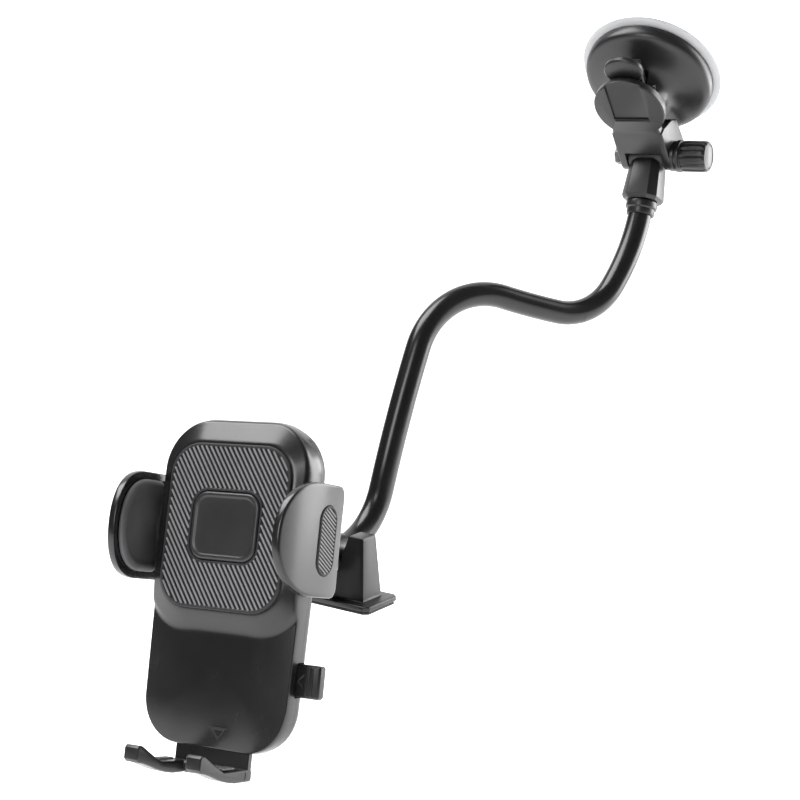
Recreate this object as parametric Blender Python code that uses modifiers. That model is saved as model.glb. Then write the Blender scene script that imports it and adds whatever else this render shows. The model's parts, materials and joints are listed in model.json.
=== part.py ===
"""Car phone mount: suction cup, bendable arm, dashboard saddle and clamping cradle.

Origin: centre of the suction pad's face that sticks to the windscreen.
+X to the right of someone looking at the phone, +Y towards the windscreen, +Z up.
Lengths below are in millimetres; the meshes are made in metres.
"""
import math

import bpy
import bmesh
from mathutils import Matrix, Vector

MM = 0.001

# Suction cup and bracket, in the cup's own frame (z away from the glass, y up the glass)
GLASS_NORMAL_DEG = 43.0
PAD_R = 32.0
CAP_R = 29.3
LEVER_PIVOT = (0.0, 6.5, 18.0)
HINGE_CUP = (0.0, -28.0, 25.5)
PLATE_FRONT = 31.0

# Bendable arm: pitch and heading at the hinge, then (length, turn) of each stretch
ARM_PITCH_DEG = 20.3
ARM_HEADING_DEG = 37.6
ARM_STRETCHES = ((22.0, 0.0), (43.8, 23.7), (32.5, 64.1), (27.6, 4.5), (52.4, -85.1),
                 (62.2, -7.2), (39.5, 76.7), (40.8, 0.0))
ARM_TWIST_AT = 5
ARM_TWIST_DEG = -31.2
ARM_R = 5.35
FLEX_AT = (62.0, 112.0, 166.0, 224.0)
END_TAPER = 0.95
SLEEVE_START = 16.4
SLEEVE_END = 295.5
FERRULE = (276.5, 300.5)
FERRULE_R = 7.6
SADDLE_AT = 282.5

# Ball joint and cradle, in the cradle's frame (x right, y up, z towards the driver)
CRADLE_TILT_DEG = 18.0
CRADLE_ROLL_DEG = -3.8
BALL_IN_CRADLE = (0.0, -12.0, -33.0)
BALL_R = 7.5
LINER_R = 8.65
SEAT_R = 8.8
BODY_HALF_W = 33.0
BODY_TOP = 40.5
BODY_BOTTOM = -81.5
PAD_BOX = (-27.0, 27.0, -31.0, 30.8)
ARM_MID_Y = -2.0
PITCH_R = 4.9
TEETH = 14
RACK_PITCH = 2.0 * math.pi * PITCH_R / TEETH

parts = None
cutters = None


def clear_scene():
    for ob in list(bpy.data.objects):
        bpy.data.objects.remove(ob, do_unlink=True)
    for coll in list(bpy.data.collections):
        bpy.data.collections.remove(coll)


def material(name, color, roughness, metallic=0.0, alpha=1.0):
    mat = bpy.data.materials.new(name)
    mat.use_nodes = True
    shader = mat.node_tree.nodes["Principled BSDF"]
    shader.inputs["Base Color"].default_value = (*color, 1.0)
    shader.inputs["Roughness"].default_value = roughness
    shader.inputs["Metallic"].default_value = metallic
    shader.inputs["Alpha"].default_value = alpha
    mat.diffuse_color = (*color, alpha)
    return mat


def frame(name, matrix, parent=None):
    """An empty that carries one group of pieces; matrix is in millimetres, world axes."""
    empty = bpy.data.objects.new(name, None)
    empty.empty_display_size = 0.01
    parts.objects.link(empty)
    m = matrix.copy()
    m.translation = m.translation * MM
    empty.matrix_world = m
    return empty


def add_object(name, mesh, holder, place=None, cutter=False):
    ob = bpy.data.objects.new(name, mesh)
    (cutters if cutter else parts).objects.link(ob)
    ob.parent = holder
    if place is not None:
        m = place.copy()
        m.translation = m.translation * MM
        ob.matrix_basis = m
    if cutter:
        ob.hide_render = True
        ob.display_type = "WIRE"
    else:
        finish(ob)
    return ob


def finish(ob):
    """Smooth shading with sharp edges kept."""
    if not ob.data.polygons:
        return
    ob.data.polygons.foreach_set("use_smooth", [True] * len(ob.data.polygons))
    ob.data.set_sharp_from_angle(angle=math.radians(35.0))


def mesh_from(bm, name):
    bmesh.ops.remove_doubles(bm, verts=bm.verts, dist=1e-6)
    bmesh.ops.recalc_face_normals(bm, faces=bm.faces)
    mesh = bpy.data.meshes.new(name)
    bm.to_mesh(mesh)
    bm.free()
    return mesh


def box_mesh(name, low, high, bevel=0.0, segments=1):
    bm = bmesh.new()
    bmesh.ops.create_cube(bm, size=1.0)
    for v in bm.verts:
        v.co = Vector([MM * (low[i] + (v.co[i] + 0.5) * (high[i] - low[i])) for i in range(3)])
    if bevel > 0.0:
        bmesh.ops.bevel(bm, geom=bm.edges[:], offset=bevel * MM, segments=segments,
                        profile=0.5, affect="EDGES", clamp_overlap=True)
    return mesh_from(bm, name)


def rod_mesh(name, radius, start, end, segments=32, radius2=None):
    """A cylinder or cone from start to end."""
    a = Vector(start) * MM
    b = Vector(end) * MM
    axis = b - a
    turn = axis.to_track_quat("Z", "Y").to_matrix().to_4x4()
    bm = bmesh.new()
    bmesh.ops.create_cone(bm, cap_ends=True, segments=segments, radius1=radius * MM,
                          radius2=(radius if radius2 is None else radius2) * MM,
                          depth=axis.length)
    bm.transform(Matrix.Translation((a + b) / 2.0) @ turn)
    return mesh_from(bm, name)


def lathe_mesh(name, profile, steps=64, centre=(0.0, 0.0)):
    """Turn a (radius, z) profile about a line parallel to z, with the Screw modifier."""
    outline = bpy.data.meshes.new(name + "_profile")
    verts = [(r * MM, 0.0, z * MM) for r, z in profile]
    closed = profile[0][0] > 1e-6 or profile[-1][0] > 1e-6
    edges = [(i, i + 1) for i in range(len(verts) - 1)]
    if closed:
        edges.append((len(verts) - 1, 0))
    outline.from_pydata(verts, edges, [])
    ob = bpy.data.objects.new(name + "_profile", outline)
    cutters.objects.link(ob)
    mod = ob.modifiers.new("turn", "SCREW")
    mod.axis = "Z"
    mod.steps = steps
    mod.render_steps = steps
    mod.use_merge_vertices = True
    mod.merge_threshold = 0.00001
    bpy.context.view_layer.update()
    mesh = bpy.data.meshes.new_from_object(ob.evaluated_get(
        bpy.context.evaluated_depsgraph_get()))
    bpy.data.objects.remove(ob, do_unlink=True)
    bm = bmesh.new()
    bm.from_mesh(mesh)
    bmesh.ops.translate(bm, verts=bm.verts, vec=(centre[0] * MM, centre[1] * MM, 0.0))
    return mesh_from(bm, name)


def plate_mesh(name, outline, z0, z1, bevel=0.0):
    """A flat outline in x, y made thick from z0 to z1, with rounded rims."""
    curve = bpy.data.curves.new(name + "_outline", "CURVE")
    curve.dimensions = "2D"
    curve.fill_mode = "BOTH"
    spline = curve.splines.new("POLY")
    spline.points.add(len(outline) - 1)
    for point, (x, y) in zip(spline.points, outline):
        point.co = (x * MM, y * MM, 0.0, 1.0)
    spline.use_cyclic_u = True
    curve.extrude = ((z1 - z0) / 2.0 - bevel) * MM
    curve.bevel_depth = bevel * MM
    curve.bevel_resolution = 0
    curve.offset = -bevel * MM
    ob = bpy.data.objects.new(name + "_outline", curve)
    cutters.objects.link(ob)
    bpy.context.view_layer.update()
    mesh = bpy.data.meshes.new_from_object(ob.evaluated_get(
        bpy.context.evaluated_depsgraph_get()))
    bpy.data.objects.remove(ob, do_unlink=True)
    bm = bmesh.new()
    bm.from_mesh(mesh)
    bmesh.ops.translate(bm, verts=bm.verts, vec=(0.0, 0.0, (z0 + z1) / 2.0 * MM))
    bmesh.ops.remove_doubles(bm, verts=bm.verts, dist=2e-6)
    bmesh.ops.dissolve_degenerate(bm, edges=bm.edges, dist=1e-6)
    return mesh_from(bm, name)


def loft_mesh(name, rings):
    """Join rings of equal length, first and last closed by a face."""
    bm = bmesh.new()
    rows = [[bm.verts.new(Vector(p) * MM) for p in ring] for ring in rings]
    count = len(rows[0])
    for low, high in zip(rows, rows[1:]):
        for i in range(count):
            j = (i + 1) % count
            bm.faces.new((low[i], low[j], high[j], high[i]))
    bm.faces.new(rows[0][::-1])
    bm.faces.new(rows[-1])
    return mesh_from(bm, name)


def join_meshes(name, meshes):
    """Several separate shells in one mesh, used for cutters only."""
    bm = bmesh.new()
    for mesh in meshes:
        bm.from_mesh(mesh)
    mesh = bpy.data.meshes.new(name)
    bm.to_mesh(mesh)
    bm.free()
    return mesh


def boolean(ob, mesh, operation="DIFFERENCE"):
    """Cut or join with a mesh given in the same local frame as the object."""
    tool = add_object(f"{ob.name}_{operation.lower()}_{len(ob.modifiers)}", mesh, ob.parent,
                      cutter=True)
    tool.matrix_basis = ob.matrix_basis.copy()
    mod = ob.modifiers.new("shape", "BOOLEAN")
    mod.operation = operation
    mod.solver = "EXACT"
    mod.object = tool
    return tool


def cut(ob, *meshes):
    for mesh in meshes:
        boolean(ob, mesh)


def add(ob, *meshes):
    for mesh in meshes:
        boolean(ob, mesh, "UNION")


def round_rect(x0, x1, y0, y1, r_top, r_bottom=None, corner=5):
    """Outline with rounded corners, anticlockwise."""
    rb = r_top if r_bottom is None else r_bottom
    pts = []
    for cx, cy, r, a0 in ((x1 - r_top, y1 - r_top, r_top, 0.0), (x0 + r_top, y1 - r_top, r_top, 90.0),
                          (x0 + rb, y0 + rb, rb, 180.0), (x1 - rb, y0 + rb, rb, 270.0)):
        for k in range(corner + 1):
            a = math.radians(a0 + 90.0 * k / corner)
            pts.append((cx + r * math.cos(a), cy + r * math.sin(a)))
    return pts


def circle(cx, cy, r, count=24, a0=0.0, a1=360.0):
    span = a1 - a0
    whole = abs(span - 360.0) < 1e-6
    n = count if whole else count + 1
    return [(cx + r * math.cos(math.radians(a0 + span * k / count)),
             cy + r * math.sin(math.radians(a0 + span * k / count))) for k in range(n)]


def with_material(mat, *objects):
    for ob in objects:
        ob.data.materials.clear()
        ob.data.materials.append(mat)


def side_matrix():
    """Turns a plate drawn in (y, z) with thickness along x into place."""
    return Matrix(((0, 0, 1, 0), (1, 0, 0, 0), (0, 1, 0, 0), (0, 0, 0, 1)))


def side_plate(name, outline_yz, x0, x1, bevel=0.0):
    mesh = plate_mesh(name, outline_yz, x0, x1, bevel)
    mesh.transform(side_matrix())
    return mesh


# ------------------------------------------------------------------ arm route
def arm_route(step=1.0):
    """Points, tangents and bend axes along the arm, from the hinge to the ball."""
    cup = cup_matrix()
    point = cup @ Vector(HINGE_CUP)
    pitch = math.radians(ARM_PITCH_DEG)
    heading = math.radians(ARM_HEADING_DEG)
    tangent = Vector((0.0, -math.sin(pitch), -math.cos(pitch)))
    ahead = Vector((-math.sin(heading), -math.cos(heading), 0.0))
    bend = Vector((0.0, 0.0, -1.0)).cross(ahead)
    bend = (bend - bend.dot(tangent) * tangent).normalized()
    route = [(0.0, point.copy(), tangent.copy(), bend.copy())]
    along = 0.0
    for index, (length, turn) in enumerate(ARM_STRETCHES):
        if index == ARM_TWIST_AT:
            bend = Matrix.Rotation(math.radians(ARM_TWIST_DEG), 3, tangent) @ bend
        count = max(1, round(length / step))
        half = Matrix.Rotation(math.radians(turn) / count / 2.0, 3, bend)
        for _ in range(count):
            tangent = half @ tangent
            point = point + tangent * (length / count)
            tangent = half @ tangent
            along += length / count
            route.append((along, point.copy(), tangent.copy(), bend.copy()))
    return route


def route_at(route, along):
    """Point, tangent and bend axis at a distance along the arm."""
    for a, b in zip(route, route[1:]):
        if along <= b[0] + 1e-9:
            t = (along - a[0]) / (b[0] - a[0])
            tangent = a[2].lerp(b[2], t).normalized()
            bend = a[3].lerp(b[3], t)
            bend = (bend - bend.dot(tangent) * tangent).normalized()
            return a[1].lerp(b[1], t), tangent, bend
    return route[-1][1:]


def cup_matrix():
    a = math.radians(GLASS_NORMAL_DEG)
    out = Vector((0.0, -math.cos(a), -math.sin(a)))
    side = Vector((1.0, 0.0, 0.0))
    up = out.cross(side)
    m = Matrix.Identity(4)
    for i, axis in enumerate((side, up, out)):
        m.col[i] = (*axis, 0.0)
    return m


def cradle_matrix(ball):
    t = math.radians(CRADLE_TILT_DEG)
    r = math.radians(CRADLE_ROLL_DEG)
    side0 = Vector((1.0, 0.0, 0.0))
    up0 = Vector((0.0, math.sin(t), math.cos(t)))
    out = Vector((0.0, -math.cos(t), math.sin(t)))
    side = side0 * math.cos(r) - up0 * math.sin(r)
    up = side0 * math.sin(r) + up0 * math.cos(r)
    m = Matrix.Identity(4)
    for i, axis in enumerate((side, up, out)):
        m.col[i] = (*axis, 0.0)
    m.translation = ball - m.to_3x3() @ Vector(BALL_IN_CRADLE)
    return m


def axis_matrix(point, tangent, bend):
    """Frame at a point of the arm: z along it, x its bend axis."""
    m = Matrix.Identity(4)
    for i, axis in enumerate((bend, tangent.cross(bend), tangent)):
        m.col[i] = (*axis, 0.0)
    m.translation = point
    return m


# ------------------------------------------------------------------ pieces
def screw_bores(z0, z1):
    """Cutter for the two screws between the cup's hub and the bracket."""
    return join_meshes("screw_bores", [rod_mesh("bore", 1.4, (x, -2.5, z0), (x, -2.5, z1), 16)
                                       for x in (-8.0, 8.0)])


def make_cup(cup, rod_frame, lever_frame, knob_frame, mats):
    pad = add_object("gel_pad", lathe_mesh("gel_pad", [
        (0.0, 2.2), (24.0, 2.2), (27.5, 2.0), (31.2, 1.2), (PAD_R, 0.7), (PAD_R, 0.0),
        (0.0, 0.0)], 56), cup)
    with_material(mats["gel"], pad)

    cap = add_object("suction_cap", lathe_mesh("suction_cap", [
        (2.8, 24.0), (10.1, 24.0), (10.5, 23.5), (10.8, 19.0), (12.0, 15.4), (15.0, 12.3),
        (20.0, 10.3), (26.0, 9.0), (28.2, 8.0), (29.1, 6.6), (CAP_R, 5.2), (CAP_R, 2.6),
        (10.0, 2.6), (10.0, 7.3), (2.8, 7.3)], 40), cup)
    cut(cap, box_mesh("lever_slot", (-5.6, -5.5, 13.4), (5.6, 16.0, 26.0)),
        rod_mesh("pin_bore", 1.65, (-14.0, 6.5, 18.0), (14.0, 6.5, 18.0), 20),
        screw_bores(14.6, 27.0))
    with_material(mats["black"], cap)

    pin = add_object("lever_pin", rod_mesh("lever_pin", 1.5, (-9.0, 6.5, 18.0), (9.0, 6.5, 18.0), 20),
                     cup)
    with_material(mats["steel"], pin)

    # bracket: keyhole plate, deep clevis below it, boss on the cup's hub
    head = [(11.6, -12.0)] + circle(0.0, 5.3, 16.2, 30, -47.0, 227.0) + [(-11.6, -12.0)]
    head = head + [(-11.9, -24.0), (11.9, -24.0)]
    bracket = add_object("mount_bracket", plate_mesh("mount_bracket", head, 27.0, PLATE_FRONT, 0.5), cup)
    hy, hz = HINGE_CUP[1], HINGE_CUP[2]
    ear = circle(hy, hz, 6.5, 10, 90.0, 215.0)
    side = [(-9.0, 30.98)] + [(y, z - 0.02) for y, z in ear]
    side += [(-30.5, 12.3), (-17.0, 13.2), (-12.6, 18.0), (-9.0, 27.4)]
    add(bracket, side_plate("clevis", side, -12.0, 12.0, 0.4),
        rod_mesh("boss", 10.2, (0.0, 0.0, 24.3), (0.0, 0.0, 27.6), 48),
        rod_mesh("knob_seat", 6.9, (11.0, hy, hz), (13.4, hy, hz), 36),
        box_mesh("recess_ledge", (-8.2, -1.6, 30.0), (8.2, -0.7, 31.5), 0.2, 1))
    cut(bracket, box_mesh("recess", (-8.2, -0.2, 30.0), (8.2, 24.0, 34.0)),
        box_mesh("fork", (-8.6, -40.0, 8.0), (8.6, -20.8, 36.0)),
        rod_mesh("hinge_bore", 2.6, (-20.0, hy, hz), (20.0, hy, hz), 24),
        screw_bores(23.0, 28.6))
    with_material(mats["black"], bracket)

    for s, tag in ((-1, "left"), (1, "right")):
        name = f"hub_screw_{tag}"
        screw = add_object(name, rod_mesh(name, 1.2, (s * 8.0, -2.5, 15.0), (s * 8.0, -2.5, 28.2), 16), cup)
        with_material(mats["steel"], screw)

    nut = add_object("hinge_nut", rod_mesh("hinge_nut", 4.6, (-15.6, hy, hz), (-12.3, hy, hz), 6), cup)
    cut(nut, rod_mesh("nut_bore", 2.55, (-18.0, hy, hz), (-10.0, hy, hz), 24))
    with_material(mats["steel"], nut)

    # pull rod and its cross pin slide along the cup's axis
    rod = add_object("pull_rod", lathe_mesh("pull_rod", [
        (0.0, 20.6), (1.7, 20.6), (2.2, 20.1), (2.2, 5.2), (3.4, 4.3), (8.6, 4.3), (8.9, 4.0),
        (8.9, 2.9), (8.6, 2.6), (0.0, 2.6)], 24), rod_frame)
    cut(rod, rod_mesh("eye", 1.32, (-6.0, 0.0, 18.0), (6.0, 0.0, 18.0), 20))
    with_material(mats["grey"], rod)
    cross = add_object("rod_cross_pin", rod_mesh("rod_cross_pin", 1.2, (-4.9, 0.0, 18.0),
                                                 (4.9, 0.0, 18.0), 20), rod_frame)
    with_material(mats["steel"], cross)

    # lock lever, origin on its pivot
    px, py, pz = LEVER_PIVOT
    lever = add_object("lock_lever", box_mesh("lock_lever", (-5.2, 3.4, -1.6), (5.2, 19.0, 1.7), 0.5),
                       lever_frame)
    tab = [(9.0 * math.cos(math.radians(a)), 16.2 + 7.2 * math.sin(math.radians(a)))
           for a in range(0, 360, 15)]
    add(lever, box_mesh("riser", (-5.2, 12.0, -1.6), (5.2, 18.6, 6.2), 0.5),
        plate_mesh("thumb_tab", tab, 4.9, 8.0, 0.7),
        box_mesh("fork_left", (-4.9, -8.6, -2.5), (-2.7, 5.0, 2.5), 0.3, 1),
        box_mesh("fork_right", (2.7, -8.6, -2.5), (4.9, 5.0, 2.5), 0.3, 1))
    cut(lever, rod_mesh("pivot_bore", 1.65, (-12.0, 0.0, 0.0), (12.0, 0.0, 0.0), 20),
        box_mesh("pin_notch", (-12.0, -14.0, -1.42), (12.0, -4.9, 1.42)))
    with_material(mats["black"], lever)

    # knob and its bolt, origin on the hinge axis
    knob = add_object("clamp_knob", lathe_mesh("clamp_knob", [
        (0.0, 28.4), (5.7, 28.4), (6.4, 28.0), (6.9, 27.2), (7.1, 26.4), (7.1, 17.4), (6.9, 16.6),
        (6.4, 16.2), (7.3, 15.6), (7.3, 13.7), (2.6, 13.7), (2.6, 24.5), (0.0, 24.5)], 36), knob_frame)
    grooves = []
    for k in range(12):
        a = 2.0 * math.pi * k / 12
        grooves.append(rod_mesh("g", 0.95, (7.5 * math.cos(a), 7.5 * math.sin(a), 16.9),
                                (7.5 * math.cos(a), 7.5 * math.sin(a), 27.0), 6))
    cut(knob, join_meshes("grooves", grooves))
    with_material(mats["black"], knob)
    bolt = add_object("knob_bolt", rod_mesh("knob_bolt", 2.4, (0.0, 0.0, -16.4), (0.0, 0.0, 24.2), 24),
                      knob_frame)
    with_material(mats["steel"], bolt)


def sleeve_mesh(name, route, start, end, taper_start, taper_end, radius=ARM_R, count=18):
    """A length of the arm as a loft along its route, with shallow conical ends where it flexes."""
    rings = []
    stations = [(start, 0.35)] if taper_start else []
    low = start + (END_TAPER if taper_start else 0.0)
    high = end - (END_TAPER if taper_end else 0.0)
    inner = max(2, round((high - low) / 6.0))
    for k in range(inner + 1):
        stations.append((low + (high - low) * k / inner, radius))
    if taper_end:
        stations.append((end, 0.35))
    for along, r in stations:
        point, tangent, bend = route_at(route, along)
        other = tangent.cross(bend)
        rings.append([point + (bend * math.cos(a) + other * math.sin(a)) * r
                      for a in [2.0 * math.pi * k / count for k in range(count)]])
    return loft_mesh(name, rings)


def make_arm(route, holders, head_frame, mats):
    """holders: one empty per body along the arm, at the world origin's axes."""
    world = Matrix.Identity(4)
    edges = [SLEEVE_START, *FLEX_AT, SLEEVE_END]
    for k in range(5):
        lo = edges[k] + (0.15 if k else 0.0)
        hi = edges[k + 1] - (0.15 if k < 4 else 0.0)
        mesh = sleeve_mesh(f"arm_sleeve_{k + 1}", route, lo, hi, k > 0, k < 4)
        holder = holders[k]
        mesh.transform(holder.matrix_world.inverted())
        ob = add_object(f"arm_sleeve_{k + 1}", mesh, holder, world)
        with_material(mats["sleeve"], ob)

    # arm head: barrel on the hinge and a chamfered square socket for the sleeve
    barrel = rod_mesh("arm_head", 5.8, (-8.2, 0.0, 0.0), (8.2, 0.0, 0.0), 36)
    head = add_object("arm_head", barrel, head_frame)
    rings = []
    for z, half, ch in ((3.5, 6.6, 2.9), (6.0, 7.3, 3.2), (8.5, 7.5, 3.2), (20.4, 8.4, 3.5),
                        (22.0, 7.6, 3.2)):
        rings.append([(x, y, z) for x, y in (
            (half, ch - half), (half, half - ch), (half - ch, half), (ch - half, half),
            (-half, half - ch), (-half, ch - half), (ch - half, -half), (half - ch, -half))])
    add(head, loft_mesh("socket_block", rings))
    cut(head, rod_mesh("hinge_bore2", 2.6, (-12.0, 0.0, 0.0), (12.0, 0.0, 0.0), 24),
        rod_mesh("sleeve_socket", 5.6, (0.0, 0.0, 16.0), (0.0, 0.0, 30.0), 36))
    with_material(mats["black"], head)
    collar = add_object("upper_collar", lathe_mesh("upper_collar", [
        (5.6, 22.3), (6.9, 22.3), (7.1, 22.6), (7.1, 25.4), (6.8, 25.8), (6.3, 26.0), (6.3, 28.2),
        (6.0, 28.6), (5.6, 28.6)][::-1], 28), head_frame)
    with_material(mats["black"], collar)


def make_arm_end(route, end_frame, mats):
    """Ferrule, stud and ball at the lower end of the arm; z along the arm, origin at the ball."""
    total = sum(length for length, _ in ARM_STRETCHES)
    f0, f1 = FERRULE[0] - total, FERRULE[1] - total
    ferrule = add_object("lower_ferrule", lathe_mesh("lower_ferrule", [
        (2.6, f1), (6.8, f1), (FERRULE_R, f1 - 1.0), (FERRULE_R, f0 + 2.5), (7.2, f0 + 1.2),
        (6.6, f0), (5.75, f0), (5.75, SLEEVE_END - total + 0.3), (2.6, SLEEVE_END - total + 0.3)], 28),
        end_frame)
    with_material(mats["black"], ferrule)
    stud = add_object("ball_stud", lathe_mesh("ball_stud", [
        (0.0, f1 - 4.4), (2.45, f1 - 4.4), (2.45, f1 + 0.3), (5.4, f1 + 0.3), (5.4, f1 + 2.0),
        (3.0, f1 + 2.8), (3.0, -6.4)] + [
        (BALL_R * math.sin(math.radians(a)), -BALL_R * math.cos(math.radians(a)))
        for a in (32, 50, 68, 86, 104, 122, 140, 158)] + [(0.0, BALL_R)], 28), end_frame)
    with_material(mats["metal"], stud)


def make_saddle(frame_ob, tilt_deg, mats):
    """Saddle that stands on the dashboard and carries the ferrule between two prongs."""
    plate = [(-23.8, -10.8), (23.8, -10.8), (26.0, -9.0), (26.0, 9.0), (23.8, 10.8), (-23.8, 10.8),
             (-26.0, 9.0), (-26.0, -9.0)]
    base = add_object("dash_saddle", plate_mesh("dash_saddle", plate, -18.5, -16.4, 0.25), frame_ob)
    for s in (-1, 1):
        rings = []
        for z, x0, x1, y in ((-17.4, 3.0, 20.7, 6.2), (-15.0, 3.6, 20.5, 6.0), (8.6, 11.8, 19.4, 4.2),
                             (9.4, 12.4, 18.9, 3.7)):
            ring = [(s * x0, -y, z), (s * x1, -y, z), (s * x1, y, z), (s * x0, y, z)]
            rings.append(ring if s > 0 else ring[::-1])
        add(base, loft_mesh("prong", rings))
    t = math.tan(math.radians(tilt_deg))
    cut(base, rod_mesh("groove", FERRULE_R + 0.3, (0.0, 30.0, -30.0 * t), (0.0, -30.0, 30.0 * t), 32))
    with_material(mats["black"], base)
    sole = [(-23.2, -10.2), (23.2, -10.2), (25.3, -8.5), (25.3, 8.5), (23.2, 10.2), (-23.2, 10.2),
            (-25.3, 8.5), (-25.3, -8.5)]
    pad = add_object("saddle_sole", plate_mesh("saddle_sole", sole, -19.9, -18.8, 0.0), frame_ob)
    with_material(mats["rubber"], pad)


def make_ball_joint(liner_frame, nut_frame, mats):
    """Liner and lock nut; both frames have z towards the driver and the origin at the ball."""
    inner, outer = BALL_R + 0.15, LINER_R
    arc = [30, 48, 66, 83, 100]
    profile = [(outer * math.sin(math.radians(a)), outer * math.cos(math.radians(a))) for a in arc]
    profile += [(inner * math.sin(math.radians(a)), inner * math.cos(math.radians(a))) for a in arc[::-1]]
    liner = add_object("ball_liner", lathe_mesh("ball_liner", profile, 28), liner_frame)
    with_material(mats["grey"], liner)
    lip = [91, 100, 110, 120, 126]
    profile = [(11.25, 8.4), (12.9, 8.4), (13.6, 7.6), (13.6, -3.6), (12.6, -5.6), (8.3, -5.6)]
    profile += [(SEAT_R * math.sin(math.radians(a)), SEAT_R * math.cos(math.radians(a))) for a in lip[::-1]]
    profile += [(SEAT_R, -0.35), (11.25, -0.35)]
    nut = add_object("lock_nut", lathe_mesh("lock_nut", profile, 36), nut_frame)
    grips = []
    for k in range(12):
        a = 2.0 * math.pi * k / 12
        grips.append(rod_mesh("g", 1.2, (14.0 * math.cos(a), 14.0 * math.sin(a), -3.2),
                              (14.0 * math.cos(a), 14.0 * math.sin(a), 9.5), 6))
    cut(nut, join_meshes("grips", grips))
    with_material(mats["black"], nut)


def body_ring(inset, z, radius_drop=1.0):
    rt = max(3.0, 20.0 - inset * radius_drop)
    rb = max(3.0, 17.0 - inset * radius_drop)
    outline = round_rect(-BODY_HALF_W + inset, BODY_HALF_W - inset, BODY_BOTTOM + inset,
                         BODY_TOP - inset, rt, rb, 5)
    return [(x, y, z) for x, y in outline]


def slot_outline(cx, cy, w, h, corner=5):
    r = min(w, h) / 2.0 - 0.01
    return round_rect(cx - w / 2, cx + w / 2, cy - h / 2, cy + h / 2, r, r, corner)


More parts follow.
